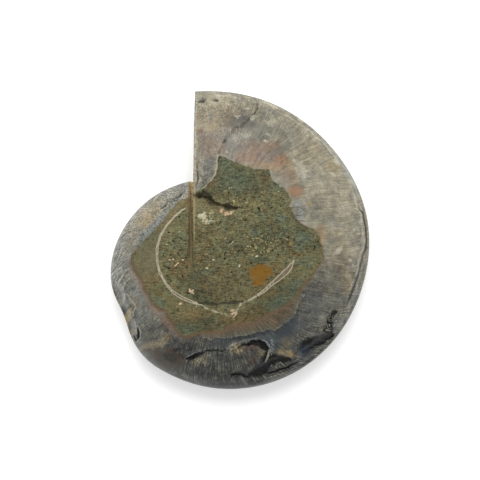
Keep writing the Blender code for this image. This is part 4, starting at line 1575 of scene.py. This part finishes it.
@dataclass(frozen=True)
class Nacre:
    """The ground shell: fine growth lines across it, over a tone that turns with the coil."""

    brightest: float = 1.4
    tones: tuple[tuple[float, Colour], ...] = (
        (0.08, LIGHT.paint(24, 26, 27)),
        (0.30, LIGHT.paint(56, 57, 54)),
        (0.45, LIGHT.paint(80, 80, 74)),
        (0.62, LIGHT.paint(106, 106, 98)),
        (0.80, LIGHT.paint(132, 130, 119)),
        (1.00, LIGHT.paint(162, 158, 142)),
        (1.40, LIGHT.paint(216, 213, 200)),
    )
    rose: Colour = LIGHT.paint(160, 112, 70)
    tan: Colour = LIGHT.paint(164, 143, 100)
    slate: Colour = LIGHT.paint(80, 87, 89)
    pale: Colour = LIGHT.paint(200, 194, 172)
    snow: Colour = LIGHT.paint(156, 165, 167)
    # Near black: the dark stains, and the painted shadows beside the strip and in the rim gap.
    soot: Colour = LIGHT.paint(26, 26, 28)
    void: Colour = LIGHT.paint(9, 8, 8)
    murk: Colour = LIGHT.paint(62, 66, 60)
    crystal: Colour = LIGHT.paint(156, 154, 132)
    strip_tan: Colour = LIGHT.paint(108, 90, 64)
    strip_grey: Colour = LIGHT.paint(98, 96, 80)
    gold: Colour = LIGHT.paint(164, 145, 100)
    worn_brown: Colour = LIGHT.paint(82, 75, 62)
    scratch: Colour = LIGHT.paint(190, 193, 188)
    navy: Colour = LIGHT.paint(38, 48, 62)
    russet: Colour = LIGHT.paint(94, 62, 46)
    cool: Colour = (0.97, 1.0, 1.04)
    warm: Colour = (1.05, 1.0, 0.89)
    # Painted highlight along the spall's edge on the right rim.
    ledge: Inlay = Inlay("rim_edge_mm", 0.50, 0.8, (-0.20, 0.25))
    # Painted shadow of the spall's ledge in the rim gap; the hairline gaps get the same dark.
    rim_gap_and_shadow: Inlay = Inlay("gap_mm", 0.75, 0.6, (-0.15, 0.15))
    thread: Inlay = Inlay("thread_mm", 0.50, 0.7, (-0.16, 0.18))
    # Painted highlights along the edges of the breaks and the upper-right rim.
    edge_highlight: Inlay = Inlay("edge_highlight_mm", 0.65, 1.0, (-0.20, 0.22))
    line_waves: Point = (72.0, 4.0)
    hair_waves: Point = (125.0, 8.0)
    web_waves: Point = (30.0, 8.0)
    chip_waves: Point = (16.0, 50.0)
    wander_waves: float = 85.0
    cloud_waves: float = 120.0
    hue_waves: float = 230.0
    mottle_waves: float = 480.0
    flake_waves: float = 1500.0

    def colour(self, recipe: Recipe, where: Value) -> tuple[Value, Value]:
        """The nacre's colour and its height.

        Args:
            recipe: The material's recipe.
            where: The object's coordinates.

        Returns:
            The colour, and a height from 0 to 1.
        """
        growth, share = recipe.place("growth"), recipe.place("keel_share")
        growth = growth + (recipe.noise(where, self.wander_waves, 1.0) - 0.5) * 0.07
        lines = recipe.noise(recipe.on_coil(growth, share, self.line_waves), 1.0, 2.0, 0.65)
        hairs = recipe.noise(recipe.on_coil(growth, share, self.hair_waves, 3.0), 1.0, 1.0, 0.6)
        cloud = recipe.noise(where, self.cloud_waves, 4.0, 0.6)
        mottle = recipe.noise(where, self.mottle_waves, 3.0, 0.65)
        flakes = recipe.noise(recipe.moved(where, 5.0), self.flake_waves, 1.0, 0.6)
        worn = recipe.place("worn")
        crisp = recipe.place("crisp") * (1.0 - worn * 0.7)
        blotch = 0.66 - recipe.place("crisp") * 0.26 - worn * 0.20
        tone = recipe.place("tone") + (cloud - 0.5) * 0.36 + (mottle - 0.5) * blotch
        # Darker where the dim patches lie, with painted shade along the bottom rim among them, and
        # lighter where the lit patches lie.
        tone = tone - recipe.place("dim") * 0.20
        grit = recipe.place("grit")
        streaks = ((lines - 0.5) * 0.62 + (hairs - 0.5) * 0.72) * (1.0 - grit * 0.55)
        tone = tone + (streaks + (flakes - 0.5) * 0.55) * crisp + (flakes - 0.5) * grit * 1.35
        scuff = recipe.place("scuff")
        web = recipe.cell_edges(recipe.on_coil(growth, share, self.web_waves, cloud))
        net = web.step(0.15, 0.02) * mottle.step(0.36, 0.54) * (0.2 + share.step(0.84, 0.92) * 0.8)
        tone = tone + scuff * (net * 0.46 - 0.04)
        strokes = hairs.step(0.56, 0.66) * mottle.step(0.46, 0.60)
        tone = tone + strokes * 0.16 * crisp
        # Painted highlight on broken bits of the rim, strongest towards the upper right, and painted
        # shade on the keel's outermost edge, least there.
        chips = recipe.noise(recipe.on_coil(growth, share, self.chip_waves, 8.0), 1.0, 2.0, 0.6)
        rim_highlight = share.step(0.955, 0.972) * share.step(0.996, 0.986) * chips.step(0.50, 0.58)
        polish = recipe.place("polish")
        tone = tone + rim_highlight * polish * 0.26 - share.step(0.978, 1.0) * (0.16 - polish * 0.14)
        stops = [(place / self.brightest, colour) for place, colour in self.tones]
        colour = recipe.ramp(tone / self.brightest, stops)
        hue = recipe.noise(recipe.moved(where, 11.0), self.hue_waves, 3.0, 0.6)
        warmth = recipe.place("warmth") + (hue - 0.5) * 3.0 + (mottle - 0.5) * grit * 3.0
        tint = recipe.mix(warmth, self.cool, self.warm)
        colour = recipe.times(colour, tint)
        colour = recipe.mix(scuff * net * 0.45, colour, self.scratch)
        colour = recipe.mix(worn * 0.55, colour, self.worn_brown)
        colour = self.washed(recipe, colour, (lines, hairs, mottle, flakes))
        height = lines * 0.5 + hairs * 0.35 + mottle * 0.3 + flakes * 0.2
        return colour, height

    def washed(self, recipe: Recipe, colour: Value, noises: tuple[Value, ...]) -> Value:
        """The nacre's colour with its stains, flecks and breaks, and painted highlights and shadows
        along the breaks and the rim.

        Args:
            recipe: The material's recipe.
            colour: The plain colour.
            noises: The growth lines, their finest hairs, noise of a few millimetres, and noise of
                less than a millimetre.

        Returns:
            The colour.
        """
        lines, hairs, mottle, flakes = noises
        line, hair, blot, flake = (wave - 0.5 for wave in noises)
        breakup = (lines * 0.7 + mottle * 0.5 + flakes * 0.4 - 0.3).step(0.30, 0.72)
        strip = recipe.place("strip_mm") + blot * 0.8
        strip_colour = recipe.mix(strip.step(0.3, 2.4), self.strip_grey, self.strip_tan)
        on_strip = strip.step(-0.15, 0.15)
        colour = recipe.mix(on_strip * (0.50 + breakup * 0.25), colour, strip_colour)
        colour = recipe.shade(colour, 1.0 + on_strip * (hair * 1.0 + line * 0.6 + blot * 0.5))
        # Painted highlight along the strip's broken edge.
        edge = strip.step(-0.10, 0.12) * strip.step(0.60, 0.30) * flakes.step(0.42, 0.60)
        colour = recipe.mix(edge * 0.22, colour, self.pale)
        bared = recipe.inside("bared_mm", blot * 0.8, -0.15, 0.3)
        colour = recipe.mix(bared * (0.20 + breakup * 0.25), colour, self.slate)
        # Painted shadow just outside the strip's edge, below the broken shell layer.
        shadow = strip.step(-2.4, -0.5) * strip.step(0.1, -0.15)
        colour = recipe.mix(shadow * (0.55 - breakup * 0.25), colour, self.soot)
        washes = (
            ("rose", self.rose, 0.90), ("tan", self.tan, 0.80), ("slate", self.slate, 0.75),
            ("navy", self.navy, 0.85), ("russet", self.russet, 0.85),
        )
        for name, paint, strength in washes:
            amount = recipe.place(name) * (0.30 + breakup * 0.70) * strength
            colour = recipe.mix(amount.clamp(), colour, paint)
        # Stains and flecks of colour; the pale ones along the upper-right rim are painted highlights.
        stains_and_highlights = (
            ("gold", self.gold, 0.30 + mottle * 0.7 + flake * 2.4, (0.20, 0.95), 0.70),
            ("pale", self.pale, 0.45 + mottle * 0.7 + flake * 0.9, (0.10, 0.95), 0.72),
            ("snow", self.snow, 0.35 + mottle * 0.5 + flake * 1.8 + hair * 1.2, (0.10, 0.75), 0.80),
            ("soot", self.soot, 0.30 + mottle * 1.2 + flake * 1.6, (0.22, 0.80), 0.80),
        )
        for name, paint, flecks, steps, strength in stains_and_highlights:
            colour = recipe.mix((recipe.place(name) * flecks).step(*steps) * strength, colour, paint)
        # Painted highlight along the spall's edge, then painted shadow in the rim gap beside it.
        colour = self.ledge.lay(recipe, colour, self.pale, blot)
        colour = self.rim_gap_and_shadow.lay(recipe, colour, self.soot, blot)
        murk = recipe.mix((flakes * 0.6 + hairs * 0.5).step(0.54, 0.72) * 0.55, self.void, self.murk)
        murk = recipe.mix((recipe.place("navy") * 0.9).clamp(), murk, self.navy)
        broken = recipe.inside("void_mm", blot * 1.4 + flake * 1.7 + line * 1.0, -0.20, 0.12)
        colour = recipe.mix(broken * 0.97, colour, murk)
        crystal = recipe.place("crystal") * (0.5 + hair * 2.6 + flake * 2.2)
        colour = recipe.mix(crystal.step(0.48, 0.85) * 0.80, colour, self.crystal)
        colour = self.thread.lay(recipe, colour, self.pale, flake)
        # Last, the painted highlights along the break edges and the rim.
        return self.edge_highlight.lay(recipe, colour, self.snow, flake)


@dataclass(frozen=True)
class Face:
    """What both faces share: nacre and sandstone under a thin polished coat."""

    stone: Sandstone = Sandstone()
    nacre: Nacre = Nacre()
    nacre_relief: float = 0.8
    relief_mm: float = 0.16
    gloss: float = 0.15
    coat: float = 0.25

    def close(self, recipe: Recipe, colour: Value, roughness: Value, height: Value, dull: Value) -> None:
        """Feeds the shader, and lays the coat.

        Args:
            recipe: The material's recipe.
            colour: Its colour.
            roughness: How rough it is.
            height: Its relief, from 0 to 1.
            dull: 1 where there is no coat.
        """
        normal = recipe.relief(height, self.relief_mm)
        recipe.finish(colour, roughness, normal, Specular_IOR_Level=self.gloss)
        recipe.polish((1.0 - dull) * self.coat)


@dataclass(frozen=True)
class GroundFace(Face):
    """The upper face: nacre round a ground sandstone middle, with the inner wall in it."""

    rust: Colour = LIGHT.paint(108, 84, 62)
    halo: Colour = LIGHT.paint(140, 124, 110)
    wall: Colour = LIGHT.paint(190, 182, 157)
    wall_shade: Colour = LIGHT.paint(108, 93, 74)
    ochre: Colour = LIGHT.paint(134, 92, 14)
    # The tan slope under the hollow's ledge, painted lighter as well where it faces the lamp.
    slope_tan_and_light: Colour = LIGHT.paint(142, 132, 96)
    crack: Colour = LIGHT.paint(52, 50, 42)
    # Painted shadow under the hollow's ledge.
    ledge_shadow: Colour = LIGHT.paint(50, 46, 34)
    kerf_brown: Colour = LIGHT.paint(116, 102, 70)
    kerf_dark: Colour = LIGHT.paint(74, 64, 43)
    # Pale paint for the kerf's lit right wall: painted light.
    kerf_lip: Colour = LIGHT.paint(176, 162, 124)
    apex: Inlay = Inlay("apex_line_mm", 0.7, 0.7, (-0.12, 0.14))
    lit_kerf_wall: Inlay = Inlay("kerf_lip_mm", 0.55, 0.8, (-0.14, 0.14))
    kerf_shadow: Inlay = Inlay("kerf_shadow_mm", 0.85, 0.5, (-0.14, 0.12))
    shake_waves: float = 800.0
    fleck_waves: float = 700.0
    wall_relief: float = 0.3
    shell_roughness: float = 0.30
    low_roughness: float = 0.2
    stone_roughness: float = 0.66

    def dress(self) -> bpy.types.Material:
        """Makes the material."""
        recipe = Recipe("ground_face")
        where = recipe.position()
        shake = recipe.noise(where, self.shake_waves, 2.0, 0.6) - 0.5
        depth = recipe.place("sandstone_mm") + shake * 1.2
        inside = recipe.place("coarse_mm").step(-0.6, 0.6)
        stone, stone_height = self.stone.colour(recipe, where, inside)
        nacre, nacre_height = self.nacre.colour(recipe, where)
        is_stone = depth.step(-0.20, 0.24)
        colour = recipe.mix(is_stone, nacre, stone)
        rust = recipe.place("rust")
        halo = depth.step(-2.6, -0.8) * depth.step(0.2, -0.2) * (0.62 + shake * 1.6)
        colour = recipe.mix((halo * rust * recipe.place("halo")).clamp(), colour, self.halo)
        band = depth.step(-0.95, 0.05) * depth.step(1.45, 0.30) * (0.90 + shake * 2.0)
        colour = recipe.mix((band * rust * 0.68).clamp(), colour, self.rust)
        fleck = recipe.noise(where, self.fleck_waves, 2.0).step(0.36, 0.62)
        colour = self.inlaid(recipe, colour, shake, fleck)
        # The slope of the hollow: tan stone, with painted light where it faces the lamp.
        hollow = recipe.place("hollow")
        colour = recipe.mix(hollow.step(0.05, 0.55) * (0.40 + shake * 1.6).clamp(), colour, self.slope_tan_and_light)
        # Painted shadow under the hollow's ledge, on the stone only.
        ledge_shadow = recipe.inside("void_mm", shake * 1.6, -0.45, 0.50)
        colour = recipe.mix(ledge_shadow * is_stone * 0.84, colour, self.ledge_shadow)
        crack = recipe.inside("crack_mm", shake * 0.7, -0.16, 0.06)
        colour = recipe.mix(crack * (0.62 + is_stone * 0.16), colour, self.crack)
        colour = self.sawn(recipe, colour, shake)
        is_wall = recipe.place("wall_mm").step(-0.10, 0.14)
        height = nacre_height * (1.0 - is_stone) * self.nacre_relief + stone_height * is_stone
        height = height + is_wall * self.wall_relief
        roughness = self.shell_roughness + (1.0 - nacre_height) * self.low_roughness
        roughness = roughness * (1.0 - is_stone) + is_stone * self.stone_roughness
        dull = (is_stone + recipe.place("void_mm").step(-0.4, 0.0)).clamp()
        self.close(recipe, colour, roughness, height, dull)
        return recipe.material

    def inlaid(self, recipe: Recipe, colour: Value, shake: Value, fleck: Value) -> Value:
        """The colour with the calcite walls and the ochre patch laid in."""
        wall = recipe.place("wall_mm") + shake * 0.5
        core = recipe.mix(wall.step(0.27, 0.46) * (0.80 + fleck * 0.20), self.wall, self.wall_shade)
        core = recipe.mix(wall.step(0.16, -0.04) * 0.45, core, self.wall_shade)
        colour = recipe.mix(wall.step(-0.14, 0.12) * (0.70 + fleck * 0.25), colour, core)
        colour = self.apex.lay(recipe, colour, self.wall, shake)
        ochre = recipe.inside("ochre_mm", shake * 3.0, -0.55, 0.75)
        return recipe.mix(ochre * (0.66 + fleck * 0.24), colour, self.ochre)

    def sawn(self, recipe: Recipe, colour: Value, shake: Value) -> Value:
        """The colour with the stain that the saw left along the kerf, a painted shadow on its left side
        and painted light on its right lip.
        """
        band = recipe.inside("kerf_band_mm", shake * 0.4, -0.16, 0.16)
        colour = recipe.mix(band * (0.72 + shake * 0.8), colour, self.kerf_brown)
        colour = self.kerf_shadow.lay(recipe, colour, self.kerf_dark, shake)
        return self.lit_kerf_wall.lay(recipe, colour, self.kerf_lip, shake)


@dataclass(frozen=True)
class Underside(Face):
    """The lower face: the same nacre and sandstone, seen only from below and the sides."""

    edge_share: float = 0.62
    edge_fade: float = 0.005
    coarse_waves: float = 60.0
    wander_waves: float = 70.0
    wander: float = 0.22
    roughness: float = 0.40
    stone_rougher: float = 0.25

    def dress(self) -> bpy.types.Material:
        """Makes the material."""
        recipe = Recipe("underside")
        where = recipe.position()
        coarse = recipe.noise(where, self.coarse_waves)
        stone, stone_height = self.stone.colour(recipe, where, coarse)
        nacre, nacre_height = self.nacre.colour(recipe, where)
        wander = (recipe.noise(where, self.wander_waves, 3.0) - 0.5) * self.wander
        share = recipe.place("keel_share") + wander
        is_stone = share.step(self.edge_share + self.edge_fade, self.edge_share)
        colour = recipe.mix(is_stone, nacre, stone)
        height = nacre_height * (1.0 - is_stone) * self.nacre_relief + stone_height * is_stone
        self.close(recipe, colour, self.roughness + is_stone * self.stone_rougher, height, is_stone)
        return recipe.material


@dataclass(frozen=True)
class SawnFace:
    """The sawn mouth: a thin shell wall round the stone that fills it."""

    stone: Sandstone = Sandstone()
    shell: Colour = LIGHT.paint(178, 170, 148)
    shell_line: Colour = LIGHT.paint(112, 92, 66)
    dust: Colour = LIGHT.paint(104, 92, 60)
    dustiness: float = 0.45
    line_mm: Point = (2.1, 1.5)
    shell_mm: Point = (1.5, 1.2)
    shake_mm: float = 0.7
    shake_waves: float = 300.0
    coarse_waves: float = 60.0
    roughness: float = 0.6
    relief_mm: float = 0.10
    gloss: float = 0.3

    def dress(self) -> bpy.types.Material:
        """Makes the material."""
        recipe = Recipe("sawn_mouth")
        where = recipe.position()
        coarse = recipe.noise(where, self.coarse_waves)
        stone, height = self.stone.colour(recipe, where, coarse)
        shake = (recipe.noise(where, self.shake_waves, 2.0) - 0.5) * self.shake_mm
        skin = recipe.place("skin_mm") + shake
        colour = recipe.mix(self.dustiness, stone, self.dust)
        colour = recipe.mix(skin.step(*self.line_mm), colour, self.shell_line)
        colour = recipe.mix(skin.step(*self.shell_mm), colour, self.shell)
        normal = recipe.relief(height, self.relief_mm)
        recipe.finish(colour, self.roughness, normal, Specular_IOR_Level=self.gloss)
        return recipe.material


@dataclass(frozen=True)
class KerfDustAndLight:
    """The narrow saw kerf, full of pale brown dust, painted much paler than the dust so that the deep
    slot looks lit.
    """

    # Paler than the dust itself: painted light that lifts the deep slot out of its shade.
    dust: Colour = LIGHT.paint(244, 222, 172)
    shade: Colour = LIGHT.paint(208, 182, 132)
    grain_waves: float = 900.0
    roughness: float = 0.8
    relief_mm: float = 0.10
    gloss: float = 0.2

    def dress(self) -> bpy.types.Material:
        """Makes the material."""
        recipe = Recipe("kerf_dust_and_light")
        grain = recipe.noise(recipe.position(), self.grain_waves, 3.0, 0.6)
        colour = recipe.mix(grain.step(0.38, 0.62), self.dust, self.shade)
        normal = recipe.relief(grain, self.relief_mm)
        recipe.finish(colour, self.roughness, normal, Specular_IOR_Level=self.gloss)
        return recipe.material


@dataclass(frozen=True)
class Studio:
    """The pale table, the soft light and the camera straight above."""

    camera_height: float = PLAN.eye_mm * MM
    frame_px: float = 480.0
    sensor: float = 36.0
    table_size: float = 4.0
    table_white: float = 0.92
    table_glow: float = 0.26
    table_drop: float = 0.00002
    table_roughness: float = 0.9
    table_gloss: float = 0.1
    nearest: float = 0.05

    def set_up(self, keel_height: float) -> None:
        """Makes the table, the lights and the camera."""
        self.make_table()
        self.make_lights()
        self.make_camera(keel_height)
        scene = bpy.context.scene
        scene.view_settings.view_transform = "Standard"
        scene.view_settings.look = "None"

    def make_table(self) -> None:
        """A large plain plane just under the fossil."""
        half = self.table_size / 2.0
        mesh = bpy.data.meshes.new("table")
        plan = [(-half, -half), (half, -half), (half, half), (-half, half)]
        mesh.from_pydata([(x, y, -self.table_drop) for x, y in plan], [], [(0, 1, 2, 3)])
        table = bpy.data.objects.new("table", mesh)
        bpy.context.scene.collection.objects.link(table)
        recipe = Recipe("table_paper")
        recipe.shader.inputs["Base Color"].default_value = (*(self.table_white,) * 3, 1.0)
        recipe.shader.inputs["Roughness"].default_value = self.table_roughness
        recipe.shader.inputs["Specular IOR Level"].default_value = self.table_gloss
        recipe.shader.inputs["Emission Color"].default_value = (1.0, 1.0, 1.0, 1.0)
        recipe.shader.inputs["Emission Strength"].default_value = self.table_glow
        mesh.materials.append(recipe.material)

    def make_lights(self) -> None:
        """A white sky and one large soft lamp from the head of the table."""
        world = bpy.data.worlds.new("studio_sky")
        world.use_nodes = True
        sky = world.node_tree.nodes["Background"]
        sky.inputs["Color"].default_value = (1.0, 1.0, 1.0, 1.0)
        sky.inputs["Strength"].default_value = LIGHT.sky
        bpy.context.scene.world = world
        lamp = bpy.data.lights.new("soft_lamp", "AREA")
        lamp.shape = "SQUARE"
        lamp.size = LIGHT.key_size
        lamp.energy = LIGHT.key_watts
        holder = bpy.data.objects.new("soft_lamp", lamp)
        holder.location = LIGHT.key_place
        holder.rotation_euler = (-Vector(LIGHT.key_place)).to_track_quat("-Z", "Y").to_euler()
        bpy.context.scene.collection.objects.link(holder)

    def make_camera(self, keel_height: float) -> None:
        """A long lens straight above, framed like the photograph."""
        camera = bpy.data.cameras.new("camera")
        camera.sensor_width = self.sensor
        width = self.frame_px * PLAN.mm * MM
        camera.lens = self.sensor * (self.camera_height - keel_height) / width
        camera.clip_start = self.nearest
        holder = bpy.data.objects.new("camera", camera)
        holder.location = (0.0, 0.0, self.camera_height)
        bpy.context.scene.collection.objects.link(holder)
        bpy.context.scene.camera = holder


def dress_ammonite(fossil: Ammonite) -> bpy.types.Object:
    """Builds the fossil, gives it its finishes and puts it in the part's place."""
    made = FossilBuilder(fossil).build()
    for finish in (GroundFace(), Underside(), SawnFace(), KerfDustAndLight()):
        made.data.materials.append(finish.dress())
    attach(made, BODY)
    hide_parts(NODE)
    return made


def main() -> None:
    """Builds everything, in order."""
    logging.basicConfig(level=logging.INFO, format="%(message)s")
    fossil = Ammonite()
    Studio().set_up(fossil.keel_height * MM)
    made = dress_ammonite(fossil)
    LOG.info("%s: %d faces", made.name, len(made.data.polygons))


if __name__ == "__main__":
    main()
